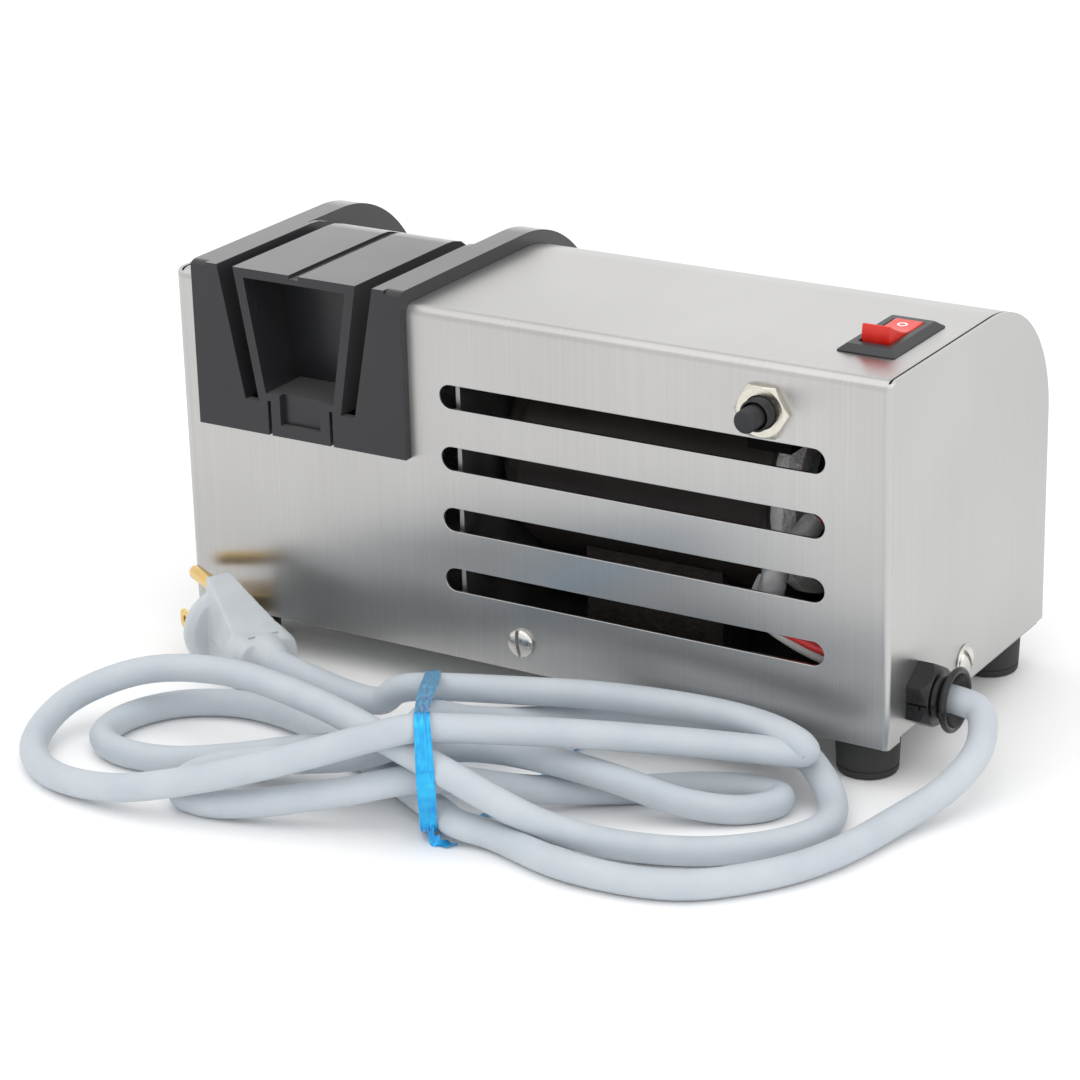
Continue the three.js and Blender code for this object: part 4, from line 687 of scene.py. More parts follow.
def ease(item: Piece, width: float, steps: int = 2, angle: float = 32.0) -> Piece:
    """Rounds a piece's edges and shades it smoothly.

    Args:
        item: the piece.
        width: the size of the rounding in millimetres.
        steps: faces across the rounding.
        angle: edges sharper than this many degrees are rounded.

    Returns:
        The piece.
    """
    tidy(item)
    item.data.shade_smooth()
    bevel = item.modifiers.new("edges", "BEVEL")
    bevel.limit_method = "ANGLE"
    bevel.angle_limit = radians(angle)
    bevel.width = width * MM
    bevel.segments = steps
    bevel.use_clamp_overlap = True
    bevel.loop_slide = True
    weigh = item.modifiers.new("shading", "WEIGHTED_NORMAL")
    weigh.mode = "FACE_AREA"
    weigh.keep_sharp = True
    weigh.weight = 60
    return bake(item)


def smooth(item: Piece, angle: float) -> Piece:
    """Shades a piece smoothly apart from edges sharper than an angle.

    Args:
        item: the piece.
        angle: the angle in degrees.

    Returns:
        The piece.
    """
    item.data.shade_smooth()
    item.data.set_sharp_from_angle(angle=radians(angle))
    return item


def dress(item: Piece, finish: Finish, body: str, *nodes: str) -> Piece:
    """Gives a piece its finish, the body it rides on and the solids it stands for.

    Args:
        item: the finished piece.
        finish: its finish.
        body: the name of the body it moves with.
        nodes: the solids it replaces.

    Returns:
        The piece.
    """
    item.data.materials.clear()
    item.data.materials.append(finish.material())
    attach(item, body)
    if nodes:
        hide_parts(*nodes)
    return item


def repaint(finish: Finish, *nodes: str) -> None:
    """Gives solids that keep their shape a finish in their own material slots.

    Args:
        finish: the finish.
        nodes: the solids' names.
    """
    for name in nodes:
        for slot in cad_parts[name].material_slots:
            slot.material = finish.material()


def rounded(width: float, height: float, radius: float, centre: Point2, steps: int = 6) -> Outline:
    """Gives the outline of a rectangle with round corners.

    Args:
        width: the first side in millimetres.
        height: the second side.
        radius: of the corners.
        centre: the middle of the rectangle.
        steps: faces round each corner.

    Returns:
        The outline, anticlockwise.
    """
    outline = []
    for turn, (u, v) in enumerate(((1, 1), (-1, 1), (-1, -1), (1, -1))):
        cu, cv = centre[0] + u * (width / 2 - radius), centre[1] + v * (height / 2 - radius)
        for i in range(steps + 1):
            angle = pi / 2 * (turn + i / steps)
            outline.append((cu + radius * cos(angle), cv + radius * sin(angle)))
    return outline


def arc(centre: Point2, radius: float, start: float, stop: float, steps: int) -> Outline:
    """Gives points along an arc between two angles in degrees."""
    turns = [radians(start + (stop - start) * i / steps) for i in range(steps + 1)]
    return [(centre[0] + radius * cos(a), centre[1] + radius * sin(a)) for a in turns]


class Route:
    """A smooth line through given points."""

    def __init__(self, knots: Sequence[Vector], steps: int) -> None:
        """Runs a centripetal curve through the knots.

        Args:
            knots: the points, in millimetres.
            steps: points of the line from one knot to the next.
        """
        first = knots[0] * 2 - knots[1]
        last = knots[-1] * 2 - knots[-2]
        padded = [first, *knots, last]
        self.points: list[Vector] = []
        for i in range(len(knots) - 1):
            for step in range(steps):
                self.points.append(self.between(padded[i : i + 4], step / steps))
        self.points.append(knots[-1].copy())

    @staticmethod
    def between(four: Sequence[Vector], share: float) -> Vector:
        """Gives a point of the curve between the middle two of four knots.

        Args:
            four: four knots in a row.
            share: from 0 at the second knot to 1 at the third.

        Returns:
            The point.
        """
        t = [0.0]
        for a, b in zip(four, four[1:]):
            t.append(t[-1] + sqrt(max((b - a).length, 1e-4)))
        at = t[1] + (t[2] - t[1]) * share
        level = list(four)
        for width in (1, 2):
            level = [
                level[k] * ((t[k + width] - at) / (t[k + width] - t[k]))
                + level[k + 1] * ((at - t[k]) / (t[k + width] - t[k]))
                for k in range(len(level) - 1)
            ]
        return level[0] * ((t[2] - at) / (t[2] - t[1])) + level[1] * ((at - t[1]) / (t[2] - t[1]))

    def relax(self, first: int, last: int, rounds: int) -> None:
        """Draws a bend of the line a little straighter.

        Args:
            first: the first point that moves.
            last: the point after the last one that moves.
            rounds: how many times each point moves towards its neighbours.
        """
        for _ in range(rounds):
            line = self.points
            eased = [(line[i - 1] + line[i + 1]) * 0.25 + line[i] * 0.5 for i in range(first, last)]
            self.points[first:last] = eased

    def length(self) -> float:
        """Returns the line's length in millimetres."""
        return sum((b - a).length for a, b in zip(self.points, self.points[1:]))

    def frames(self) -> list[tuple[Vector, Vector, Vector]]:
        """Gives the line's points, each with two crosswise directions that turn as little as possible.

        Returns:
            A row of point, sideways direction and the direction square to both.
        """
        found = []
        side = Vector((0.0, 0.0, 1.0))
        last = len(self.points) - 1
        for i, point in enumerate(self.points):
            way = (self.points[min(i + 1, last)] - self.points[max(i - 1, 0)]).normalized()
            side = side - way * side.dot(way)
            if side.length < 1e-3:
                side = way.orthogonal()
            side.normalize()
            found.append((point, side.copy(), way.cross(side)))
        return found


def tube(name: str, route: Route, radius: float, sides: int) -> Piece:
    """Makes a round tube along a route, with closed ends and a map that runs along it.

    Args:
        name: the piece's name.
        route: the tube's middle line.
        radius: in millimetres.
        sides: faces round it.

    Returns:
        The piece.
    """
    loops = []
    for point, side, across in route.frames():
        ring = (point + side * radius * cos(a) + across * radius * sin(a) for a in circle(sides))
        loops.append([tuple(spot) for spot in ring])
    return smooth(loft(name, loops), 60.0)


class Tree:
    """A Geometry Nodes tree with named inputs, which sets copies of the piece that it is used on."""

    def __init__(self, name: str, **inputs: str) -> None:
        """Starts a tree with a geometry input and output, inputs of its own and a finish.

        Args:
            name: the tree's name.
            inputs: the kind of each input of its own, by name, with underscores for spaces.
        """
        self.group = bpy.data.node_groups.new(name, "GeometryNodeTree")
        self.sockets: dict[str, str] = {}
        face = self.group.interface
        face.new_socket("Geometry", in_out="OUTPUT", socket_type="NodeSocketGeometry")
        for key, kind in {"Geometry": "Geometry", **inputs, "Finish": "Material"}.items():
            made = face.new_socket(key.replace("_", " "), in_out="INPUT", socket_type="NodeSocket" + kind)
            self.sockets[key] = made.identifier
        self.given = self.group.nodes.new("NodeGroupInput").outputs

    def add(self, kind: str, **inputs: object) -> bpy.types.Node:
        """Adds a node and fills its inputs.

        Args:
            kind: the node's type name.
            inputs: sockets or numbers by their inputs' names, with underscores for spaces.

        Returns:
            The node.
        """
        node = self.group.nodes.new(kind)
        for key, value in inputs.items():
            name = key.replace("_", " ")
            self.fill(next(s for s in node.inputs if s.name == name and s.enabled), value)
        return node

    def fill(self, socket: Socket, value: object) -> None:
        """Links an input to another node's socket, or sets it to a number.

        Args:
            socket: the input.
            value: the socket or number.
        """
        if isinstance(value, Socket):
            self.group.links.new(value, socket)
        else:
            socket.default_value = value

    def maths(self, operation: str, first: object, second: object) -> Socket:
        """Does a sum on two numbers or sockets.

        Args:
            operation: the kind of sum.
            first: a number or a socket.
            second: a number or a socket.

        Returns:
            The socket with the result.
        """
        node = self.group.nodes.new("ShaderNodeMath")
        node.operation = operation
        for socket, value in zip(node.inputs, (first, second)):
            self.fill(socket, value)
        return node.outputs[0]

    def copies(self, points: Socket, **inputs: object) -> None:
        """Ends the tree: a copy on each point, made real geometry, with the finish on it.

        Args:
            points: the socket with the points.
            inputs: more inputs of the copies, such as their rotation.
        """
        piece = self.given["Geometry"]
        copies = self.add("GeometryNodeInstanceOnPoints", Points=points, Instance=piece, **inputs)
        real = self.add("GeometryNodeRealizeInstances", Geometry=copies.outputs[0])
        paint = self.add("GeometryNodeSetMaterial", Geometry=real.outputs[0], Material=self.given["Finish"])
        out = self.group.nodes.new("NodeGroupOutput")
        self.group.links.new(paint.outputs[0], out.inputs["Geometry"])

    def use(self, item: Piece, finish: Finish, **values: object) -> Piece:
        """Runs the tree on a piece and leaves a plain mesh.

        Args:
            item: the piece whose mesh is copied.
            finish: the copies' finish.
            values: the tree's own inputs, with underscores for spaces.

        Returns:
            The piece.
        """
        step = item.modifiers.new("repeat", "NODES")
        step.node_group = self.group
        for key, value in {**values, "Finish": finish.material()}.items():
            step[self.sockets[key]] = value
        return bake(item)


def corner_tree() -> Tree:
    """Builds the tree that sets a copy on each corner of a rectangle, as for feet.

    Returns:
        A tree with the inputs Span X, Span Y, Centre and Finish.
    """
    tree = Tree("copies_at_corners", Span_X="Float", Span_Y="Float", Centre="Vector")
    spans = {"Size_X": tree.given["Span X"], "Size_Y": tree.given["Span Y"]}
    grid = tree.add("GeometryNodeMeshGrid", Vertices_X=2, Vertices_Y=2, **spans)
    moved = tree.add("GeometryNodeTransform", Geometry=grid.outputs["Mesh"], Translation=tree.given["Centre"])
    tree.copies(moved.outputs[0])
    return tree


def facing_tree() -> Tree:
    """Builds the tree that sets two copies back to back, as for the screws of opposite walls.

    Returns:
        A tree with the inputs First, Last and Finish.
    """
    tree = Tree("copies_back_to_back", First="Vector", Last="Vector")
    line = tree.group.nodes.new("GeometryNodeMeshLine")
    line.mode = "END_POINTS"
    for socket in line.inputs:
        if socket.name == "Count":
            socket.default_value = 2
    tree.fill(next(s for s in line.inputs if s.name == "Start Location"), tree.given["First"])
    ends = [s for s in line.inputs if s.name in ("End Location", "Offset") and s.enabled]
    tree.fill(ends[0], tree.given["Last"])
    index = tree.add("GeometryNodeInputIndex")
    turn = tree.add("ShaderNodeCombineXYZ", Z=tree.maths("MULTIPLY", index.outputs[0], pi))
    tree.copies(line.outputs[0], Rotation=turn.outputs[0])
    return tree


def row_tree() -> Tree:
    """Builds the tree that sets copies in a row, as for the vent slots.

    Returns:
        A tree with the inputs Count, Step and Finish.
    """
    tree = Tree("copies_in_a_row", Count="Int", Step="Vector")
    line = tree.add("GeometryNodeMeshLine", Count=tree.given["Count"], Offset=tree.given["Step"])
    tree.copies(line.outputs[0])
    return tree


def wheel_tree() -> Tree:
    """Builds the tree that sets copies round the shaft, as for the fan's blades.

    Returns:
        A tree with the inputs Count, Centre and Finish.
    """
    tree = Tree("copies_round_the_shaft", Count="Int", Centre="Vector")
    line = tree.add(
        "GeometryNodeMeshLine", Count=tree.given["Count"], Start_Location=tree.given["Centre"],
        Offset=(0.0, 0.0, 0.0),
    )
    index = tree.add("GeometryNodeInputIndex")
    share = tree.maths("DIVIDE", 2 * pi, tree.given["Count"])
    turn = tree.add("ShaderNodeCombineXYZ", X=tree.maths("MULTIPLY", index.outputs[0], share))
    tree.copies(line.outputs[0], Rotation=turn.outputs[0])
    return tree


@dataclass(frozen=True)
class Lamp:
    """A large soft lamp: its place and what it looks at in metres, its side, and its power in watts."""

    name: str
    spot: Point3
    aim: Point3
    size: float
    power: float

    def hang(self) -> None:
        """Adds the lamp to the scene."""
        data = bpy.data.lights.new(self.name, "AREA")
        data.size = self.size
        data.energy = self.power
        lamp = bpy.data.objects.new(self.name, data)
        bpy.context.scene.collection.objects.link(lamp)
        lamp.location = self.spot
        way = Vector(self.aim) - Vector(self.spot)
        lamp.rotation_euler = way.to_track_quat("-Z", "Y").to_euler()


@dataclass
class Studio:
    """Camera, floor and light of the picture."""

    eye: Point3 = (0.51741, -0.86907, 0.43034)
    azimuth: float = 31.96
    elevation: float = 21.14
    roll: float = -1.49
    lens: float = 113.5
    sensor: float = 36.0
    clip: Point2 = (0.02, 50.0)
    floor_half: float = 5.0
    room: float = 1.0
    lamps: tuple[Lamp, ...] = (
        Lamp("overhead", (-0.1, -0.6, 2.1), (0.0, -0.05, 0.03), 2.6, 14.0),
        Lamp("side", (2.2, -0.4, 1.1), (0.1, 0.0, 0.06), 2.2, 8.0),
        Lamp("front", (0.3, -2.4, 1.0), (0.0, -0.1, 0.0), 2.4, 2.2),
        Lamp("back", (-1.3, 2.1, 1.0), (-0.05, 0.0, 0.1), 1.8, 2.6),
    )

    def camera(self) -> None:
        """Sets up the camera at the photograph's angle."""
        a, e, r = (radians(x) for x in (self.azimuth, self.elevation, self.roll))
        back = Vector((sin(a) * cos(e), -cos(a) * cos(e), sin(e)))
        level = Vector((cos(a), sin(a), 0.0))
        above = back.cross(level)
        right = level * cos(r) + above * sin(r)
        up = above * cos(r) - level * sin(r)
        data = bpy.data.cameras.new("camera")
        data.lens = self.lens
        data.sensor_width = self.sensor
        data.clip_start, data.clip_end = self.clip
        camera = bpy.data.objects.new("camera", data)
        bpy.context.scene.collection.objects.link(camera)
        turn = Matrix((right, up, back)).transposed().to_4x4()
        camera.matrix_world = Matrix.Translation(self.eye) @ turn
        bpy.context.scene.camera = camera

    def light(self) -> None:
        """Lights the set: a white room and a soft lamp overhead, at the side, in front and behind."""
        world = bpy.data.worlds.new("white_room")
        bpy.context.scene.world = world
        world.use_nodes = True
        sky = world.node_tree.nodes["Background"]
        sky.inputs["Color"].default_value = (1.0, 1.0, 1.0, 1.0)
        sky.inputs["Strength"].default_value = self.room
        for lamp in self.lamps:
            lamp.hang()
        bpy.context.scene.view_settings.view_transform = "Standard"

    def ground(self) -> None:
        """Lays the plain pale floor."""
        half = self.floor_half / MM
        corners = [(-half, -half, 0.0), (half, -half, 0.0), (half, half, 0.0), (-half, half, 0.0)]
        floor = shape("floor", corners, [[0, 1, 2, 3]])
        if floor.data.polygons[0].normal.z < 0:
            floor.data.flip_normals()
        floor.data.materials.append(PAINTS.floor.material())


def left_turns(row: Outline) -> Outline:
    """Keeps the points at which an outline through a sorted row turns left.

    Args:
        row: the points in order.

    Returns:
        One side of the row's convex outline, without its last point.
    """
    kept = []
    for point in row:
        while len(kept) > 1:
            (u, v), (a, b) = kept[-1], kept[-2]
            if (u - a) * (point[1] - b) - (v - b) * (point[0] - a) > 1e-6:
                break
            kept.pop()
        kept.append(point)
    return kept[:-1]


def evenly(outline: Outline, count: int) -> Outline:
    """Spaces points evenly along a closed outline.

    Args:
        outline: the outline's corners.
        count: how many points.

    Returns:
        The points.
    """
    ring = [Vector(p) for p in outline] + [Vector(outline[0])]
    runs = [0.0]
    for a, b in zip(ring, ring[1:]):
        runs.append(runs[-1] + (b - a).length)
    found = []
    for i in range(count):
        want = runs[-1] * i / count
        k = max(j for j in range(len(runs) - 1) if runs[j] <= want)
        share = (want - runs[k]) / max(runs[k + 1] - runs[k], 1e-9)
        found.append(tuple(ring[k].lerp(ring[k + 1], share)))
    return found


def unwrap(item: Piece, around: int, across: float, along: float) -> None:
    """Lays a map over a lofted ribbon, by the order of its corners.

    Args:
        item: the ribbon.
        around: corners of each loop.
        across: corners to one unit of the map across the ribbon.
        along: loops to one unit of the map along it.
    """
    uv = item.data.uv_layers.new(name="UVMap")
    for loop in item.data.loops:
        index = loop.vertex_index
        uv.data[loop.index].uv = ((index % around) / across, index // around / along)


@dataclass
class MainsLead:
    """The mains lead: from the strain relief through six half turns of a hank to the plug."""

    radius: float = 4.3
    sides: int = 22
    exit: Point3 = (252.3, *LAYOUT.relief)
    mouth: Point3 = (262.8, *LAYOUT.relief)
    straight: float = 8.6
    steps: int = 12
    fine: int = 6
    waist: Point2 = (144.1, -83.0)
    turn: float = 31.37
    passes: tuple[Point2, ...] = (
        (3.5, 1.3), (23.6, 9.6), (-2.7, 12.0), (23.6, 20.0), (-8.9, 20.4), (-6.3, 29.6), (52.7, 16.7),
    )
    half_turns: tuple[tuple[float, ...], ...] = (
        (-1, 92.3, 63, 27.6, 17.7, -16.3, -2.9, 0.8, -8.5, 0.7),
        (1, 97, -8.2, -12.8, 1.7, -23.1, 11.1, -1.6, -2.4, -12.6),
        (-1, 62.7, 10.3, 3.5, -3.3, -15.3, -3.3, -4.3, -0.1, 21.2),
        (1, 104, 10.8, 28.8, -2.4, -25.8, 9.9, -13.5, -4.2, -26),
        (-1, 102.5, 61.9, 39.6, 20.6, -22.6, -0.6, 3.3, -11.8, 27.6),
        (1, 117.7, -13, 6.7, 1.3, -11.4, -5.3, -2.6, 9.4, 4.2),
    )
    lead: tuple[Point3, ...] = (
        (270, 19.5, 22.5), (274.5, 10, 16), (272, -6, 9.2), (265.5, -24, 5.4), (258, -53, 4.5),
        (247.5, -72, 4.4), (229, -89, 4.4), (198, -94, 4.6), (168, -87, 4.6),
    )
    tail: tuple[Point3, ...] = ((106.6, -39, 10.3), (92, -37.5, 10.5), (78, -38, 12))
    kink: tuple[int, int] = (503, 545)
    kink_rounds: int = 70

    def at_waist(self, out: float, across: float, up: float) -> Point3:
        """Turns a place at the hank's waist into a point of the case's frame.

        Args:
            out: distance from the waist along the hank.
            across: distance across it.
            up: height over the floor.

        Returns:
            The point.
        """
        turn = radians(self.turn)
        return (
            self.waist[0] + out * cos(turn) - across * sin(turn),
            self.waist[1] + out * sin(turn) + across * cos(turn),
            up,
        )

    def from_waist(self, spot: Vector) -> Point3:
        """Turns a point of the case's frame into a place at the hank's waist.

        Args:
            spot: the point.

        Returns:
            Its distance along the hank, across it and up.
        """
        turn = radians(self.turn)
        x, y = spot.x - self.waist[0], spot.y - self.waist[1]
        return (
            x * cos(turn) + y * sin(turn),
            y * cos(turn) - x * sin(turn),
            spot.z,
        )

    def half_turn_point(self, index: int, t: float) -> Vector:
        """Gives a point of one half turn of the hank.

        Args:
            index: which half turn.
            t: 0 at one pass through the tie and 1 at the next.

        Returns:
            The point in the case's frame.
        """
        side, reach, tip, belly, drift, lift, tilt, rise, flat, skew = self.half_turns[index]
        (along_from, up_from), (along_to, up_to) = self.passes[index], self.passes[index + 1]
        s, s2, s3 = (sin(n * pi * t) for n in (1, 2, 3))
        out = side * (reach * s + flat * s3 + skew * s2)
        across = along_from + (along_to - along_from) * t + tip * s * s + belly * s2 + drift * s3
        up = up_from + (up_to - up_from) * t + lift * s * s + tilt * s2 + rise * s3
        return Vector(self.at_waist(out, across, max(self.radius + up, self.radius)))

    def route(self, plug: "Plug") -> Route:
        """Joins the lead, the hank and the tail into one line.

        Args:
            plug: the plug that the line ends in.

        Returns:
            The whole line.
        """
        count = len(self.half_turns)
        loops = [self.half_turn_point(k, i / self.steps) for k in range(count) for i in range(self.steps)]
        loops.append(self.half_turn_point(count - 1, 1.0))
        inward = (loops[0] - loops[1]).normalized() * self.straight
        onward = (loops[-1] - loops[-2]).normalized() * self.straight
        first, last = loops[0] + inward, loops[-1] + onward
        end, back = plug.cord_end()
        knots = [Vector(self.exit), Vector(self.mouth), *map(Vector, self.lead), first + inward, first]
        knots += [*loops, last, last + onward, *map(Vector, self.tail), end + back * self.straight, end]
        route = Route(knots, self.fine)
        route.relax(*self.kink, self.kink_rounds)
        return route

    def build(self, plug: "Plug") -> tuple[Piece, Route]:
        """Makes the lead in one tube and dresses it.

        Args:
            plug: the plug that it ends in.

        Returns:
            The lead and its line.
        """
        route = self.route(plug)
        cord = tube("mains_lead", route, self.radius, self.sides)
        dress(cord, PAINTS.jacket, "case", "cord_lead", "cord_hank", "cord_tail")
        return cord, route


@dataclass
class TwistTie:
    """The blue tie of the hank: a crumpled band, its twisted tip and a tail on the floor."""

    lead: MainsLead
    width: float = 5.2
    gap: float = 0.3
    fine: int = 5
    dots: int = 24
    cover: float = 0.62
    stations: int = 260
    rows: int = 13
    thickness: float = 0.14
    crease: float = 0.22
    crumple: float = 0.08
    margin: float = 0.2
    wander: float = 0.25
    sway: float = 0.5
    off_floor: Point2 = (0.12, 0.04)
    ribbon_edge: float = 0.12
    ribbon_middle: Point2 = (0.2, 0.3)
    ribbon_floor: float = 0.05
    tail: tuple[Point3, ...] = (
        (150.5, -84.0, 1.0), (154.0, -76.0, 0.7), (156.5, -52.0, 0.6), (155.0, -28.0, 0.7),
        (154.6, -5.5, 0.6),
    )

    def hull(self, route: Route) -> Outline:
        """Gives the outline of all passes of the lead under the tie.

        Args:
            route: the lead's line.

        Returns:
            The convex outline: distance across the waist and height, anticlockwise.
        """
        reach = self.lead.radius + self.gap
        found: set[Point2] = set()
        for point, side, across in Route(route.points, self.fine).frames():
            if abs(self.lead.from_waist(point)[0]) > 3 * self.width:
                continue
            for a in circle(self.dots):
                spot = point + (side * cos(a) + across * sin(a)) * reach
                out, over, up = self.lead.from_waist(spot)
                if abs(out) < self.width * self.cover:
                    found.add((over, up))
        row = sorted(found)
        return left_turns(row) + left_turns(row[::-1])

    def band(self, route: Route) -> Piece:
        """Makes the crumpled foil band round the waist.

        Args:
            route: the lead's line.

        Returns:
            The dressed band.
        """
        outline = evenly(self.hull(route), self.stations)
        loops = []
        for i, ((u, v), turn) in enumerate(zip(outline, circle(self.stations))):
            before, after = outline[i - 3], outline[(i + 3) % self.stations]
            way = Vector((after[0] - before[0], after[1] - before[1])).normalized()
            sway = self.sway * sin(2 * turn + 0.6)
            half = self.width / 2 - self.margin + self.wander * sin(3 * turn + 1.1)
            outer, inner = [], []
            for k in range(self.rows):
                w = half * (2 * k / (self.rows - 1) - 1) + sway
                fold = sin(1.25 * k + 0.9 * sin(2 * turn) + 0.5 * sin(7 * turn))
                dent = noise.noise(Vector((k * 0.6, 6 * cos(turn), 6 * sin(turn))))
                lift = self.thickness + self.crease * abs(fold) + self.crumple * dent
                high = max(v - way.x * lift, self.off_floor[0])
                outer.append(self.lead.at_waist(w, u + way.y * lift, high))
                inner.append(self.lead.at_waist(w, u, max(v, self.off_floor[1])))
            loops.append(outer + inner[::-1])
        item = loft("twist_tie_band", loops, round_trip=True)
        unwrap(item, 2 * self.rows, self.rows, self.stations / 3)
        return dress(smooth(item, 28.0), PAINTS.foil, "case", "twist_tie")

    def ribbon(self, name: str, knots: Sequence[Point3], width: float, turns: float, start: float) -> Piece:
        """Makes a narrow twisted end of the tie.

        Args:
            name: the piece's name.
            knots: the points it runs through.
            width: in millimetres.
            turns: how many times it twists on the way.
            start: its first angle in degrees.

        Returns:
            The dressed ribbon.
        """
        frames = Route([Vector(p) for p in knots], 14).frames()
        edge, (under, over) = self.ribbon_edge, self.ribbon_middle
        loops = []
        for i, (point, side, across) in enumerate(frames):
            share = i / (len(frames) - 1)
            angle = radians(start) + 2 * pi * turns * share
            flat = across * cos(angle) + side * sin(angle)
            thick = side * cos(angle) - across * sin(angle)
            half = width / 2 * (0.75 + 0.25 * cos(share * 17.0))
            corners = ((-half, -edge), (0.0, -under), (half, -edge), (half, edge), (0.0, over), (-half, edge))
            spots = [point + flat * a + thick * b for a, b in corners]
            loops.append([(p.x, p.y, max(p.z, self.ribbon_floor)) for p in spots])
        item = loft(name, loops)
        unwrap(item, 6, 3.0, len(frames))
        return dress(smooth(item, 25.0), PAINTS.foil, "case")

    def build(self, route: Route) -> list[Piece]:
        """Makes the whole tie.

        Args:
            route: the lead's line.

        Returns:
            The band, the tip and the tail.
        """
        u, v = min(self.hull(route), key=lambda p: p[0] + p[1])
        tip = [
            (0.8, u + 0.2, v + 1.6), (1.6, u - 0.7, 1.7), (3.4, u - 1.9, 1.0), (6.0, u - 2.4, 0.8),
            (8.6, u - 2.2, 0.7),
        ]
        return [
            self.band(route),
            self.ribbon("twist_tie_tip", [self.lead.at_waist(*p) for p in tip], 4.2, 0.45, 80.0),
            self.ribbon("twist_tie_tail", self.tail, 4.0, 0.1, 4.0),
        ]


@dataclass
class Plug:
    """The moulded three-pin plug, lying by the case's left end. Its own frame starts at its face."""

    at: Point3 = (20.7, -15.2, 16.2)
    heading: float = 29.0
    length: float = 37.0
    flange_radius: float = 13.6
    seat: float = 1.5
    cord_gap: float = 0.3
    cord_hole: float = 4.35
    voxel: float = 0.42
    softening: int = 7
    blade_drop: float = 3.6
    blade_spacing: float = 12.7
    blade: Point3 = (16.0, 1.5, 6.35)
    blade_chamfer: Point2 = (1.2, 1.3)
    blade_hole: Point2 = (3.6, 1.6)
    pin_offset: float = 13.6
    pin_radius: float = 2.4
    pin_length: float = 19.0
    root: float = 2.0

    def turn(self, point: Sequence[float]) -> Point3:
        """Turns a point of the plug's own frame into one of the case's frame.

        Args:
            point: the point, in millimetres.

        Returns:
            The point in the case's frame.
        """
        a = radians(-self.heading)
        x, y, z = point
        return (
            self.at[0] + x * cos(a) - y * sin(a),
            self.at[1] + x * sin(a) + y * cos(a),
            self.at[2] + z,
        )

    def cord_end(self) -> tuple[Vector, Vector]:
        """Finds where the cord ends in the plug.

        Returns:
            The point, and the direction away from the plug.
        """
        a = radians(self.heading)
        back = Vector((cos(a), -sin(a), 0.0))
        return Vector(self.at) + back * (self.length - self.seat + self.cord_gap), back

    def seat_in(self, item: Piece) -> None:
        """Moves a piece made in the plug's own frame to its place.

        Args:
            item: the piece.
        """
        for vertex in item.data.vertices:
            vertex.co = place(self.turn(vertex.co / MM + ORIGIN))
        item.data.update()

    def slab(self, x: float, half: float, low: float, high: float, radius: float) -> list[Point3]:
        """Returns the grip's round-cornered cross-section at this distance from the plug's face."""
        outline = rounded(2 * half, high - low, radius, (0.0, (high + low) / 2))
        return [(x, u, v) for u, v in outline]

    def grip_parts(self) -> list[Piece]:
        """Makes what stands behind the flange: a scooped waist, a ridge, a rounded cap and a collar.

        Returns:
            The solids.
        """
        end = self.length - 0.5
        waist = loft("waist", [
            self.slab(x, half, -13.6, 4.0, 3.0)
            for x, half in ((2.0, 8.2), (6.0, 6.0), (12.0, 5.2), (18.0, 5.8), (23.0, 7.6), (27.0, 9.8))
        ])
        ridge = loft("ridge", [
            [(x, -half - 1.3, -4.0), (x, half + 1.3, -4.0), (x, half, top), (x, -half, top)]
            for x, half, top in ((0.3, 4.3, 15.3), (13.0, 5.8, 10.7), (26.0, 7.9, 6.2), (30.0, 8.2, 5.6))
        ])
        cap = loft("cap", [
            self.slab(25.0, 8.8, -11.6, 4.6, 3.6), self.slab(27.0, 10.6, -13.4, 5.9, 4.6),
            self.slab(end - 3.0, 10.9, -13.6, 5.4, 5.4), self.slab(end, 9.8, -12.4, 4.8, 5.4),
        ])
        collar = lathe("collar", Axis.X, [
            (0.0, end - 3.0), (6.6, end - 3.0), (6.1, end + 0.6), (5.2, end + 4.0), (4.52, end + 7.6),
            (0.0, end + 7.6),
        ], (0.0, 0.0, 0.0), 48)
        return [waist, ridge, cap, collar]

    def moulding(self) -> Piece:
        """Makes the moulded body in one soft skin, with the cord's bore and two pits in its cap.

        Returns:
            The dressed body.
        """
        r = self.flange_radius
        rim = [
            (0.0, 0.0), (r - 1.4, 0.0), (r - 0.5, 0.3), (r, 1.1), (r, 2.6), (r - 0.4, 3.4), (r - 2.2, 4.9),
            (0.0, 5.8),
        ]
        grip = lathe("plug_moulding", Axis.X, rim, (0.0, 0.0, r - self.at[2]), 72)
        combine(grip, Joining.ADD, self.grip_parts())
        remesh = grip.modifiers.new("skin", "REMESH")
        remesh.mode = "VOXEL"
        remesh.voxel_size = self.voxel * MM
        relax = grip.modifiers.new("soften", "SMOOTH")
        relax.factor = 0.5
        relax.iterations = self.softening
        bake(grip)
        start, stop = self.length - self.seat, self.length + 11.0
        hole = [(0.0, start), (self.cord_hole, start), (self.cord_hole, stop), (0.0, stop)]
        bore = lathe("bore", Axis.X, hole, (0.0, 0.0, 0.0), 48)
        cap = self.length - 0.5
        pits = [block((cap - 4.2, y - 1.3, 4.5), (cap - 3.0, y + 1.3, 12.0)) for y in (-3.9, 3.9)]
        combine(grip, Joining.CUT, [bore, *pits])
        self.seat_in(grip)
        return dress(smooth(grip, 50.0), PAINTS.plug, "case", "plug_body")

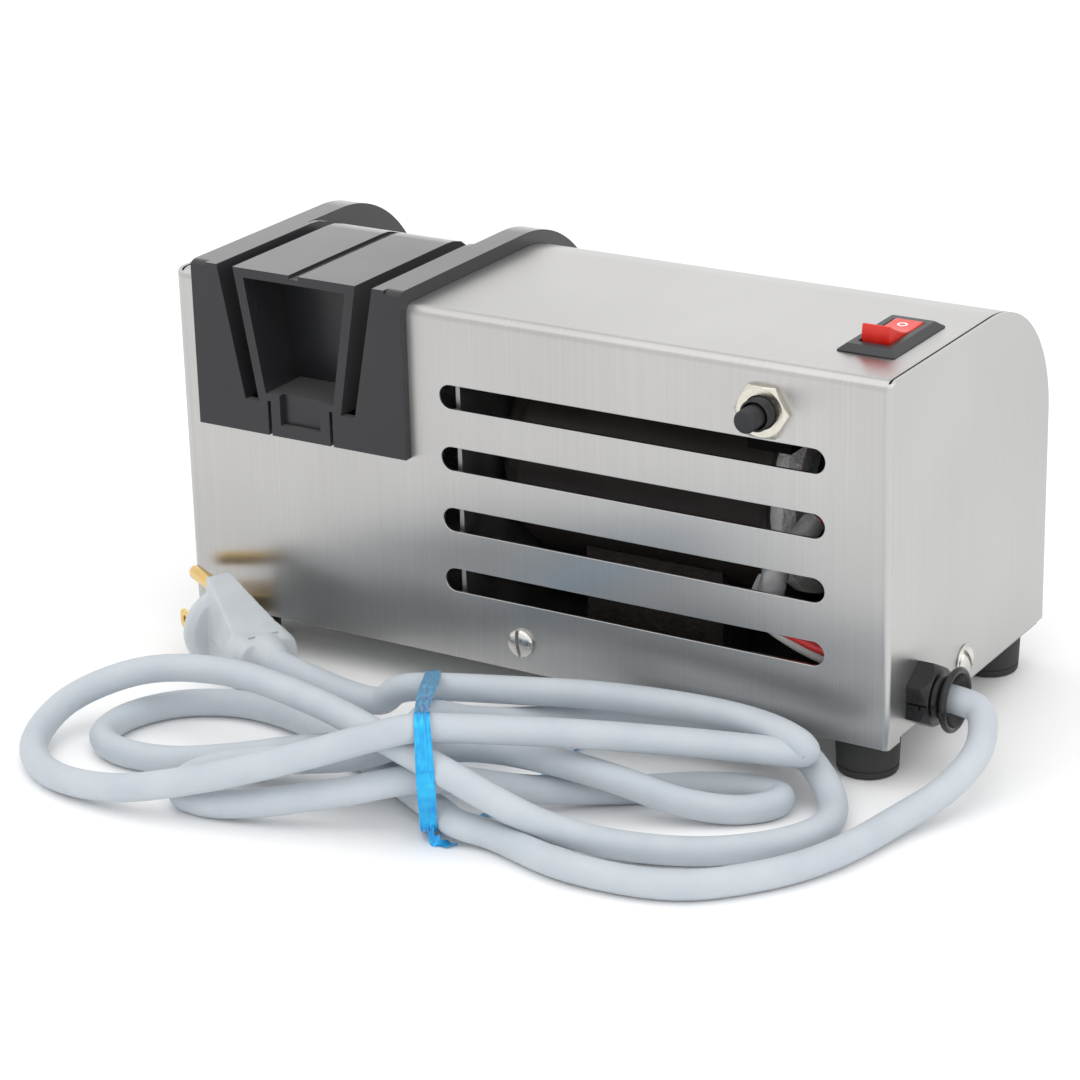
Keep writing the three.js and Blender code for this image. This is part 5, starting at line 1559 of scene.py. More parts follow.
    def contact(self, side: int) -> Piece:
        """Makes one flat blade with its hole and chamfered tip.

        Args:
            side: -1 for the near blade and 1 for the far one.

        Returns:
            The dressed blade.
        """
        long, thick, wide = self.blade
        y, half = side * self.blade_spacing / 2, wide / 2
        cut, slope = self.blade_chamfer
        corners = [
            (-long, -half + slope), (-long + cut, -half), (self.root, -half), (self.root, half),
            (-long + cut, half), (-long, half - slope),
        ]
        outline = [(x, z - self.blade_drop) for x, z in corners]
        which = "near" if side < 0 else "far"
        blade = prism("flat_contact_" + which, Axis.Y, outline, y - thick / 2, y + thick / 2)
        from_tip, radius = self.blade_hole
        bore = [(0.0, -4.0), (radius, -4.0), (radius, 4.0), (0.0, 4.0)]
        hole = lathe("hole", Axis.Y, bore, (from_tip - long, y, -self.blade_drop), 32)
        combine(blade, Joining.CUT, [hole])
        ease(blade, 0.3)
        self.seat_in(blade)
        return dress(blade, PAINTS.brass, "case", "plug_blade_" + which)

    def pin(self) -> Piece:
        """Makes the round ground pin with its domed tip.

        Returns:
            The dressed pin.
        """
        r, tip = self.pin_radius, -self.pin_length
        dome = [(r * sin(a), tip + r * 0.8 * (1 - cos(a))) for a in QUARTER]
        centre = (0.0, 0.0, self.pin_offset - self.blade_drop)
        pin = lathe("ground_pin_turned", Axis.X, [*dome, (r, self.root), (0.0, self.root)], centre, 40)
        self.seat_in(pin)
        return dress(smooth(pin, 50.0), PAINTS.brass, "case", "ground_pin")

    def build(self) -> list[Piece]:
        """Makes every piece of the plug and returns them."""
        return [self.moulding(), self.contact(-1), self.contact(1), self.pin()]


@dataclass
class Case:
    """The folded steel case and the openings in it."""

    width: float = LAYOUT.width
    depth: float = LAYOUT.depth
    bottom: float = LAYOUT.bottom
    top: float = LAYOUT.top
    sheet: float = 1.2
    back_radius: float = 42.0
    front_fold: float = 3.5
    edge_fold: float = 1.6
    inner_fold: float = 0.5
    seam: float = 0.75
    overlap: float = 0.3
    notch: Point3 = (1.6, 8.0, 1.8)
    guide_half: float = 33.8
    guide_sill: float = 83.0
    switch_hole: Point2 = (16.0, 31.2)
    breaker_hole: float = 5.05
    screw_hole: float = 2.55
    lead_hole: float = 7.75
    slot_left: float = 97.9
    slot_right: float = 229.0
    slot_height: float = 7.5
    slot_level: float = 39.1
    slot_pitch: float = 19.9
    slot_count: int = 4

    def side(self, offset: float, bottom: float | None = None, fold: float | None = None) -> Outline:
        """Gives the case's side outline moved outwards.

        Args:
            offset: in millimetres, inwards when negative.
            bottom: the level it is closed at.
            fold: the radius of the front fold.

        Returns:
            The outline: distance from the front and height.
        """
        low = self.bottom if bottom is None else bottom
        bend = max((self.front_fold if fold is None else fold) + offset, self.sheet / 2)
        centre = (self.depth - self.back_radius, self.top - self.back_radius)
        outline = [(-offset, low), (self.depth + offset, low)]
        outline += arc(centre, self.back_radius + offset, 0.0, 90.0, 40)
        outline += arc((bend - offset, self.top + offset - bend), bend, 90.0, 180.0, 8)
        return outline

    def slots(self) -> Piece:
        """Makes the cutter of all vent slots.

        Returns:
            The cutter.
        """
        middle = ((self.slot_left + self.slot_right) / 2, self.slot_level)
        radius = self.slot_height / 2 - 0.01
        outline = rounded(self.slot_right - self.slot_left, self.slot_height, radius, middle, 12)
        cutter = prism("slots", Axis.Y, outline, -PAST, self.sheet + PAST)
        step = (0.0, 0.0, self.slot_pitch * MM)
        return row_tree().use(cutter, PAINTS.sheet, Count=self.slot_count, Step=step)

    def hole(self, axis: Axis, radius: float, centre: Point3) -> Piece:
        """Makes the cutter of a round hole through the sheet."""
        profile = [(0.0, -PAST), (radius, -PAST), (radius, PAST), (0.0, PAST)]
        return lathe("cutter", axis, profile, centre, 48)

    def wrap_holes(self) -> list[Piece]:
        """Makes the cutters of the openings in the front, top and back.

        Returns:
            The cutters.
        """
        left, right = LAYOUT.guide - self.guide_half, LAYOUT.guide + self.guide_half
        (x, y), (wide, deep) = LAYOUT.switch, self.switch_hole
        low = (x - wide / 2, y - deep / 2, self.top - PAST)
        across, level = LAYOUT.breaker
        screw = (LAYOUT.screw_middle, LAYOUT.screw_level)
        return [
            block((left, -PAST, self.guide_sill), (right, self.depth + PAST, self.top + PAST)),
            block(low, (x + wide / 2, y + deep / 2, self.top + PAST)),
            self.hole(Axis.Y, self.breaker_hole, (across, 0.0, level)),
            self.hole(Axis.Y, self.screw_hole, (screw[0], 0.0, screw[1])),
            self.hole(Axis.Y, self.screw_hole, (screw[0], self.depth, screw[1])),
        ]

    def end_holes(self, right: bool) -> list[Piece]:
        """Makes the cutters of the openings in one end.

        Args:
            right: whether it is the right end.

        Returns:
            The cutters.
        """
        x = self.width if right else 0.0
        screw = self.hole(Axis.X, self.screw_hole, (x, LAYOUT.screw_side, LAYOUT.screw_level))
        return [screw, *([self.hole(Axis.X, self.lead_hole, (x, *LAYOUT.relief))] if right else [])]

    def wrap(self) -> None:
        """Makes the front, top and back in one sheet."""
        edge = self.sheet + self.seam
        wrap = prism("case_wrap", Axis.X, self.side(0.0), edge, self.width - edge)
        inside = self.side(-self.sheet, self.bottom - PAST)
        room = prism("room", Axis.X, inside, -PAST, self.width + PAST)
        combine(wrap, Joining.CUT, [room, self.slots(), *self.wrap_holes()])
        ease(wrap, 0.22, angle=40.0)
        dress(wrap, PAINTS.sheet, "case", "housing_cover")

    def end(self, right: bool) -> None:
        """Makes one end panel with the fold that joins it to the front.

        Args:
            right: whether it is the right end.
        """
        reach = self.sheet + self.seam + self.overlap
        long = self.depth + 2 * self.back_radius
        plan = rounded(self.width, long, self.edge_fold, (self.width / 2, long / 2), 10)
        name = "case_end_right" if right else "case_end_left"
        panel = prism(name, Axis.Z, plan, self.bottom, self.top + PAST)
        side = prism("side", Axis.X, self.side(0.0), -1.0, self.width + 1.0)
        combine(panel, Joining.KEEP, [side])
        centre = (self.width / 2, self.depth + self.sheet)
        inner = rounded(self.width - 2 * self.sheet, self.depth * 2, self.inner_fold, centre, 4)
        above = self.top + 4 * PAST
        room = prism("room", Axis.Z, inner, 0.0, above)
        start, stop = (-PAST, self.width - reach) if right else (reach, self.width + PAST)
        other = block((start, -PAST, 0.0), (stop, self.depth + PAST, above))
        x = self.width if right else 0.0
        half, front, high = self.notch
        low = (x - half, front, self.bottom - PAST)
        notch = block(low, (x + half, self.depth + PAST, self.bottom + high))
        combine(panel, Joining.CUT, [room, other, notch, *self.end_holes(right)])
        ease(panel, 0.16, angle=50.0)
        dress(panel, PAINTS.ends, "case", "housing_cover")

    def build(self) -> None:
        """Makes the case and its ends."""
        self.wrap()
        for right in (False, True):
            self.end(right)


@dataclass(frozen=True)
class Screw:
    """A slotted screw with a domed head that looks back along its axis."""

    name: str
    axis: Axis
    slot: float
    radius: float = 4.55
    height: float = 2.5
    shank: float = 2.4
    length: float = 8.0
    slot_share: float = 0.62 / 4.55
    slot_depth: float = 0.55
    rim: float = 0.35

    def build(self) -> Piece:
        """Makes the screw at the origin.

        Returns:
            The screw.
        """
        radius, height, rim = self.radius, self.height, self.rim * self.height
        angles = (1.5, 1.25, 1.0, 0.75, 0.5, 0.25)
        dome = [(radius * sin(a), -rim - (height - rim) * cos(a)) for a in angles]
        profile = [
            (0.0, self.length), (self.shank, self.length), (self.shank, 0.0), (radius, 0.0),
            (radius + 0.05, -rim), *dome, (0.0, -height),
        ]
        screw = lathe(self.name, self.axis, profile, ORIGIN, 40)
        a, half = radians(self.slot), self.slot_share * radius
        corners = [(-9.0, -half), (9.0, -half), (9.0, half), (-9.0, half)]
        outline = [(u * cos(a) - v * sin(a), u * sin(a) + v * cos(a)) for u, v in corners]
        loops = []
        for along in (-height - 3.0, (self.slot_depth - 1.0) * height):
            loops.append([tuple(ORIGIN + Vector(self.axis.point(u, v, along))) for u, v in outline])
        combine(screw, Joining.CUT, [loft("driver", loops)])
        return ease(screw, 0.1, angle=45.0)


@dataclass
class Fasteners:
    """Feet and screws, which repeat."""

    foot_inset: float = 12.5
    foot_gap: float = 0.05
    recess: float = 6.0
    washer_profile: tuple[Point2, ...] = (
        (2.6, 0.0), (4.9, 0.0), (5.05, -0.15), (5.05, -0.45), (4.9, -0.6), (2.6, -0.6),
    )

    def foot(self) -> Piece:
        """Makes one rubber foot at the origin: tapered, with a rim line and a recess for its screw.

        Returns:
            The foot.
        """
        top, recess = LAYOUT.bottom - self.foot_gap, self.recess
        profile = [
            (5.2, 0.0), (8.3, 0.0), (8.9, 0.25), (9.2, 0.7), (9.35, 1.3), (9.4, 2.3), (9.05, 2.5),
            (9.05, 2.75), (9.42, 2.95), (9.85, 11.6), (9.75, 12.5), (9.3, top), (1.7, top), (1.7, recess),
            (5.2, recess),
        ]
        return smooth(lathe("feet", Axis.Z, profile, ORIGIN, 56), 50.0)

    def feet(self) -> None:
        """Sets the four feet and their screws at the corners."""
        tree = corner_tree()
        places = {
            "Span_X": (LAYOUT.width - 2 * self.foot_inset) * MM,
            "Span_Y": (LAYOUT.depth - 2 * self.foot_inset) * MM,
            "Centre": (0.0, (LAYOUT.depth / 2 - ORIGIN.y) * MM, 0.0),
        }
        corners = ("front_left", "front_right", "back_left", "back_right")
        feet = tree.use(self.foot(), PAINTS.rubber, **places)
        dress(feet, PAINTS.rubber, "case", *("foot_" + c for c in corners))
        screw = Screw("foot_screws", Axis.Z, 90.0, radius=4.0, height=2.0, shank=1.5, length=10.0).build()
        shift(screw, (0.0, 0.0, self.recess * MM))
        screws = tree.use(screw, PAINTS.screw, **places)
        dress(screws, PAINTS.screw, "case", *("foot_screw_" + c for c in corners))

    def screws(self) -> None:
        """Sets the cover screws: one in each wall, and a washer under those of the ends."""
        tree = facing_tree()
        middle, side, level = LAYOUT.screw_middle, LAYOUT.screw_side, LAYOUT.screw_level
        long = Screw("cover_screws_long", Axis.Y, 98.0).build()
        first, last = place((middle, 0.0, level)), place((middle, LAYOUT.depth, level))
        tree.use(long, PAINTS.screw, First=first, Last=last)
        dress(long, PAINTS.screw, "case", "cover_screw_front", "cover_screw_back")
        short = Screw("cover_screws_short", Axis.X, 62.0).build()
        combine(short, Joining.ADD, [lathe("washer", Axis.X, self.washer_profile, ORIGIN, 48)])
        smooth(short, 40.0)
        first, last = place((0.0, side, level)), place((LAYOUT.width, side, level))
        tree.use(short, PAINTS.screw, First=first, Last=last)
        dress(short, PAINTS.screw, "case", "cover_screw_left", "cover_screw_right")

    def build(self) -> None:
        """Makes the feet and the screws."""
        self.feet()
        self.screws()


@dataclass
class GuideSaddle:
    """The moulded guide over the grinding wheels, with two slanted knife slots."""

    case: Case
    centre: float = LAYOUT.guide
    half: float = 39.3
    inner_half: float = 33.5
    front: float = -3.0
    proud: float = 4.5
    fit: float = 0.15
    bottom: float = 76.8
    wall: float = 3.0
    web: float = 2.5
    web_reach: float = 8.0
    web_level: float = 83.3
    deck_run: float = 55.5
    deck_fall: float = 35.0
    levels: Point2 = (87.5, 130.0)
    slot_inner: Point2 = (15.5, 22.9)
    slot_outer: Point2 = (20.8, 29.1)
    guide_wall: float = 2.5
    guide_level: float = 102.0
    recess_half: Point2 = (12.0, 19.3)
    recess_depth: float = 16.0
    lid: float = 3.0
    sill: float = 90.5
    recess_floor: float = 2.3
    window_half: float = 7.6
    window_sill: float = 80.6
    window_back: float = -0.9
    tab_half: float = 11.1
    tab_slit: float = 1.2
    groove: Point2 = (3.4, 1.2)
    overlap: float = 0.3

    def section(self, inset: float) -> Outline:
        """Gives the outline between the side flanges, seen from the end.

        Args:
            inset: how far it is moved inwards.

        Returns:
            The outline: distance from the case's front and height.
        """
        top = self.case.top + self.proud - inset
        back = self.case.depth + self.proud - inset
        fall = tan(radians(self.deck_fall))
        run = self.deck_run
        return [
            (self.front + inset, self.bottom), (back, self.bottom), (back, top - (back - run) * fall),
            (run + 6.0, top - 6.0 * fall), (run + 2.0, top - 1.6), (run - 3.0, top - 0.25), (run - 7.0, top),
            (self.front + inset, top),
        ]

    def lean(self, pair: Point2, level: float) -> float:
        """Returns a half-width that leans from its low to its high value with the level."""
        low, high = self.levels
        return pair[0] + (pair[1] - pair[0]) * (level - low) / (high - low)

    def band(self, side: int, near: Point2, far: Point2, span: Point2) -> Outline:
        """Gives the outline of a slanted slot or wall.

        Args:
            side: -1 for the left one and 1 for the right one.
            near: half-widths of its inner face at the two levels.
            far: half-widths of its outer face.
            span: the levels it runs between.

        Returns:
            The outline: distance from the case's left end and height.
        """
        low, high = span
        spots = ((near, low), (far, low), (far, high), (near, high))
        return [(self.centre + side * self.lean(pair, level), level) for pair, level in spots]

    def recess_outline(self, low: float, high: float, extra: float) -> Outline:
        """Gives the recess's outline between two levels.

        Args:
            low: the lower level.
            high: the upper level.
            extra: how much wider it is on each side.

        Returns:
            The outline: distance from the case's left end and height.
        """
        x = self.centre
        a, b = (self.lean(self.recess_half, level) + extra for level in (low, high))
        return [(x - a, low), (x + a, low), (x + b, high), (x - b, high)]

    def arch(self, start: float, stop: float, inner: float) -> Piece:
        """Makes one flange that follows the case over the top.

        Args:
            start: its left side.
            stop: its right side.
            inner: how far its inner face stands off the case's outside.

        Returns:
            The flange.
        """
        outside = prism("guide_part", Axis.X, self.case.side(self.proud, self.bottom, 0.0), start, stop)
        front = block((start - PAST, -4 * PAST, 0.0), (stop + PAST, self.front, self.case.top + 4 * PAST))
        under = self.case.side(inner, self.bottom - PAST)
        inside = prism("inside", Axis.X, under, start - PAST, stop + PAST)
        return combine(outside, Joining.CUT, [front, inside])

    def flanges(self) -> list[Piece]:
        """Makes the two flanges on the case and the webs that reach into it.

        Returns:
            The flanges and webs.
        """
        left, right = self.centre - self.inner_half, self.centre + self.inner_half
        parts = [
            self.arch(self.centre - self.half, left + self.web, self.fit),
            self.arch(right - self.web, self.centre + self.half, self.fit),
        ]
        far = self.case.depth + 4 * PAST
        for x in (left, right - self.web):
            web = self.arch(x, x + self.web, -self.web_reach)
            below = block((x - PAST, -4 * PAST, 0.0), (x + PAST, far, self.web_level))
            parts.append(combine(web, Joining.CUT, [below]))
        return parts

    def guides(self) -> list[Piece]:
        """Makes the slanted walls beside the knife slots, and the recess's back and floor.

        Returns:
            The walls, within the moulding's outline.
        """
        top, back = self.case.top + self.proud, self.case.depth + self.proud
        start, past = self.front - PAST, top + PAST
        recess_back = self.recess_depth + self.guide_wall
        within, beyond = self.slot_inner, tuple(v + self.guide_wall for v in self.slot_outer)
        walls = []
        for side in (-1, 1):
            runs = (
                (self.recess_half, within, self.levels[0], start, recess_back),
                (self.recess_half, within, self.guide_level, recess_back - self.overlap, back + PAST),
                (self.slot_outer, beyond, self.levels[0], start, back + PAST),
            )
            for near, far, level, first, last in runs:
                walls.append(prism("guide", Axis.Y, self.band(side, near, far, (level, past)), first, last))
        outline = self.recess_outline(self.levels[0], top - self.lid / 2, self.guide_wall / 2)
        walls.append(prism("guide", Axis.Y, outline, self.recess_depth, recess_back))
        low = (self.centre - self.slot_inner[0], self.front, self.sill - self.recess_floor)
        walls.append(block(low, (self.centre + self.slot_inner[0], recess_back, self.sill)))
        left, right = self.centre - self.inner_half, self.centre + self.inner_half
        for wall in walls:
            combine(wall, Joining.KEEP, [prism("envelope", Axis.X, self.section(0.04), left, right)])
        return walls

    def cuts(self) -> list[Piece]:
        """Makes the cutters: recess, knife slots, the tab's slits, window and the groove on the deck.

        Returns:
            The cutters.
        """
        top, back = self.case.top + self.proud, self.case.depth + self.proud
        start, floor = self.front - PAST, self.sill - self.recess_floor
        recess = self.recess_outline(self.sill, top - self.lid, self.overlap)
        tools = [prism("cutter", Axis.Y, recess, start, self.recess_depth)]
        for side in (-1, 1):
            outline = self.band(side, self.slot_inner, self.slot_outer, (self.levels[0], top + PAST))
            tools.append(prism("cutter", Axis.Y, outline, start, back + PAST))
            near, far = sorted((self.tab_half * side, (self.tab_half + self.tab_slit) * side))
            low = (self.centre + near, start, self.bottom - PAST)
            tools.append(block(low, (self.centre + far, 0.0, floor)))
        low = (self.centre - self.window_half, start, self.window_sill)
        tools.append(block(low, (self.centre + self.window_half, self.window_back, self.sill + PAST)))
        wide, deep = self.groove
        low = (self.centre - wide / 2, start, top - deep)
        tools.append(block(low, (self.centre + wide / 2, self.deck_run - 1.0, top + PAST)))
        return tools

    def hollow(self) -> Outline:
        """Gives the outline of the room under the deck, which is open below and clears the case.

        Returns:
            The outline: distance from the case's front and height.
        """
        near, far, low = -self.fit, self.case.depth + self.fit, self.bottom - PAST
        room = [(min(max(y, near), far), z) for y, z in self.section(self.wall)]
        return [(near, low), (far, low), (far, room[2][1]), *room[3:-1], (near, room[-1][1])]

    def build(self) -> None:
        """Makes the moulding and dresses it."""
        left, right = self.centre - self.inner_half, self.centre + self.inner_half
        shell = prism("guide_moulding", Axis.X, self.section(0.0), left, right)
        combine(shell, Joining.CUT, [prism("hollow", Axis.X, self.hollow(), left - PAST, right + PAST)])
        combine(shell, Joining.ADD, self.flanges() + self.guides())
        combine(shell, Joining.CUT, self.cuts())
        ease(shell, 0.28, angle=30.0)
        dress(shell, PAINTS.moulding, "saddle", "guide_saddle")


@dataclass
class RockerSwitch:
    """The rocker switch on the top: a sloping bezel, a red rocker and its mark."""

    at: Point3 = (*LAYOUT.switch, LAYOUT.top)
    bezel: Point2 = (18.6, 34.5)
    ring: Point2 = (14.0, 30.0)
    body: Point2 = (15.8, 31.0)
    well: Point2 = (9.7, 23.8)
    height: float = 2.1
    below: float = 23.0
    well_depth: float = 11.0
    tilt: float = 12.0
    rocker_half: float = 4.6
    face: tuple[Point2, ...] = ((11.4, 4.9), (8.0, 4.0), (4.2, 3.15), (1.6, 2.75))
    valley: float = 2.68
    mark_at: Point3 = (0.0, 6.6, 3.69)
    mark_slope: Point2 = (1.75, 7.2)
    mark_rim: tuple[Point2, ...] = ((1.0, -0.2), (1.6, -0.2), (1.6, 0.06), (1.0, 0.06))
    mark_sides: int = 40

    def loops(self) -> list[list[Point3]]:
        """Gives the loops of the body from its foot, round the bezel and down into the well.

        Returns:
            The loops.
        """
        x, y, z = self.at
        lip = (self.well[0] + 0.5, self.well[1] + 0.5)
        rows = (
            (self.body, 0.4, -self.below), (self.body, 0.4, 0.0), (self.bezel, 0.7, 0.0),
            (self.bezel, 0.7, 0.35), (self.ring, 0.7, self.height), (lip, 0.5, self.height),
            (self.well, 0.4, self.height - 0.4), (self.well, 0.4, -self.well_depth),
        )
        return [[(u, v, z + up) for u, v in rounded(w, h, r, (x, y), 5)] for (w, h), r, up in rows]

    def turned(self, point: Sequence[float]) -> Point3:
        """Returns a point of the rocker's own frame in the case's frame, tilted to its rest."""
        spot = Matrix.Rotation(radians(-self.tilt), 3, "X") @ Vector(point)
        return tuple(spot + Vector(self.at))

    def rocker(self) -> None:
        """Makes the rocker: two faces that meet in a soft valley, and a keel below."""
        top = [*self.face, (0.0, self.valley), *((-y, z) for y, z in self.face[::-1])]
        outline = [(-8.0, -4.2), (8.0, -4.2), (11.2, 0.6), *top, (-11.2, 0.6)]
        loops = [[self.turned((x, y, z)) for y, z in outline] for x in (-self.rocker_half, self.rocker_half)]
        rocker = loft("rocker_cap", loops)
        ease(rocker, 0.55, 3, 40.0)
        dress(rocker, PAINTS.red, "rocker", "switch_rocker")

    def mark(self) -> None:
        """Makes the white ring on the far half of the rocker."""
        tilt = Matrix.Rotation(atan2(*self.mark_slope), 3, "X")
        loops = []
        for radius, lift in self.mark_rim:
            angles = circle(self.mark_sides)
            spots = [Vector((radius * cos(a), radius * sin(a), lift)) for a in angles]
            loops.append([self.turned(tilt @ spot + Vector(self.mark_at)) for spot in spots])
        ring = loft("rocker_mark", loops, round_trip=True)
        dress(smooth(ring, 30.0), PAINTS.mark, "rocker")

    def build(self) -> None:
        """Makes the switch."""
        body = loft("switch_bezel", self.loops())
        ease(body, 0.12, angle=28.0)
        dress(body, PAINTS.black, "case", "switch_body")
        self.rocker()
        self.mark()


@dataclass
class ResetBreaker:
    """The reset breaker: its body behind the sheet, threaded collar, hex nut and sprung button."""

    at: Point3 = (LAYOUT.breaker[0], 0.0, LAYOUT.breaker[1])
    flats: float = 15.6
    nut: float = 2.2
    collar: float = 4.9
    mouth: float = 4.1
    bore: float = 4.25
    reach: float = 6.0
    behind: float = 3.4
    pitch: float = 0.6
    turns: int = 11
    body_half: float = 7.2
    body_depth: float = 33.0
    body_levels: Point2 = (-13.6, 11.5)
    button: float = 3.55
    button_end: float = -12.2
    button_round: float = 1.1
    button_root: float = 5.0

    def body(self) -> None:
        """Makes the breaker's body behind the sheet."""
        x, _, z = self.at
        half, (low, high) = self.body_half, self.body_levels
        body = block((x - half, self.behind, z + low), (x + half, self.body_depth, z + high))
        body.name = "breaker_housing"
        profile = [(0.0, 2.0), (self.bore, 2.0), (self.bore, 12.0), (0.0, 12.0)]
        combine(body, Joining.CUT, [lathe("bore", Axis.Y, profile, self.at, 40)])
        dress(ease(body, 0.4), PAINTS.phenolic, "case", "breaker_body")

    def threads(self) -> None:
        """Makes the collar with its thread."""
        edge, first, ridge = -self.reach, 0.5 - self.reach, self.pitch / 2
        profile = [
            (self.mouth, edge + 0.25), (self.bore, edge), (4.5, edge), (self.collar - 0.15, edge + 0.35),
        ]
        for i in range(self.turns):
            along = first + self.pitch * i
            profile += [(self.collar, along), (self.collar - ridge, along + ridge)]
        profile += [(self.collar, self.behind), (self.mouth, self.behind)]
        collar = lathe("breaker_collar", Axis.Y, profile, self.at, 56)
        dress(smooth(collar, 35.0), PAINTS.gloss, "case", "breaker_body")

    def hexagon(self) -> None:
        """Makes the nut with its turned corners."""
        x, _, z = self.at
        corner = self.flats / 2 / cos(pi / 6)
        face, hole = -self.nut, self.collar + 0.1
        nut = prism("breaker_hex_nut", Axis.Y, arc((x, z), corner, 0.0, 300.0, 5), face, -0.02)
        cone = [
            (0.0, face - 0.01), (corner - 1.5, face - 0.01), (corner + 0.1, face + 0.95),
            (corner + 0.1, -0.5), (corner - 0.6, 0.5), (0.0, 0.5),
        ]
        combine(nut, Joining.KEEP, [lathe("cone", Axis.Y, cone, self.at, 72)])
        bore = [(0.0, -4.0), (self.collar + 0.75, -4.0), (hole, face + 0.5), (hole, 2.0), (0.0, 2.0)]
        combine(nut, Joining.CUT, [lathe("bore", Axis.Y, bore, self.at, 56)])
        ease(nut, 0.14, angle=18.0)
        dress(nut, PAINTS.nickel, "case", "breaker_nut")

    def cap(self) -> None:
        """Makes the push button with its round edge."""
        bend, end = self.button_round, self.button_end
        straight = self.button - bend
        edge = [(straight + bend * sin(a), end + bend - bend * cos(a)) for a in QUARTER]
        profile = [(0.0, end), *edge, (self.button, self.button_root), (0.0, self.button_root)]
        cap = lathe("reset_cap", Axis.Y, profile, self.at, 56)
        dress(smooth(cap, 50.0), PAINTS.button, "button", "reset_button")

    def build(self) -> None:
        """Makes the breaker."""
        self.threads()
        self.body()
        self.hexagon()
        self.cap()


@dataclass
class StrainRelief:
    """The bushing that the lead comes out of: a split hexagon, a neck and a flared mouth."""

    at: Point3 = (LAYOUT.width, *LAYOUT.relief)
    flats: float = 17.8
    long: float = 7.0
    gap: float = 0.05
    flare: float = 5.8
    neck: float = 6.4
    ring: float = 10.0
    cord: float = 4.6

    def hexagon(self) -> Piece:
        """Makes the hexagon with its rounded shoulder and the cord's bore.

        Returns:
            The hexagon.
        """
        x, y, z = self.at
        corner = self.flats / 2 / cos(pi / 6)
        hexagon = prism(
            "strain_bushing", Axis.X, arc((y, z), corner, 90.0, 390.0, 5), x + self.gap, x + self.long
        )
        past = self.long + 0.01
        cone = [(0.0, -1.0), (corner + 0.5, -1.0), (corner + 0.5, 3.6), (8.6, past), (0.0, past)]
        combine(hexagon, Joining.KEEP, [lathe("cone", Axis.X, cone, self.at, 64)])
        hole = self.cord + 0.02
        bore = lathe("bore", Axis.X, [(0.0, -9.0), (hole, -9.0), (hole, 8.0), (0.0, 8.0)], self.at, 48)
        return combine(hexagon, Joining.CUT, [bore])

    def mouth(self) -> Piece:
        """Makes the sleeve through the hexagon, with its neck and its flared mouth.

        Returns:
            The sleeve.
        """
        long, end = self.long, self.long + self.flare
        profile = [
            (self.cord, -8.0), (7.6, -8.0), (7.6, long - 1.6), (7.0, long - 0.2), (self.neck, long + 0.8),
            (self.neck, long + 1.5), (7.2, long + 2.5), (8.8, long + 3.3), (9.7, long + 4.0),
            (self.ring, long + 4.7), (9.85, end - 0.5), (9.4, end - 0.1), (8.8, end), (8.2, end - 0.35),
            (7.6, end - 1.5), (6.4, end - 3.0), (5.3, end - 4.4), (self.cord, end - 5.6),
        ]
        return lathe("flare", Axis.X, profile, self.at, 72)

    def build(self) -> None:
        """Makes the bushing, with the split and the key in its side."""
        x, y, z = self.at
        bushing = combine(self.hexagon(), Joining.ADD, [self.mouth()])
        split = block((x + 0.6, y - 12.0, z - 0.25), (x + 6.6, y - 6.9, z + 0.25))
        key = block((x + 4.0, y - 12.0, z - 1.6), (x + 4.45, y - 7.2, z + 0.1))
        combine(bushing, Joining.CUT, [split, key])
        ease(bushing, 0.22, angle=28.0)
        dress(bushing, PAINTS.gloss, "case", "strain_relief")


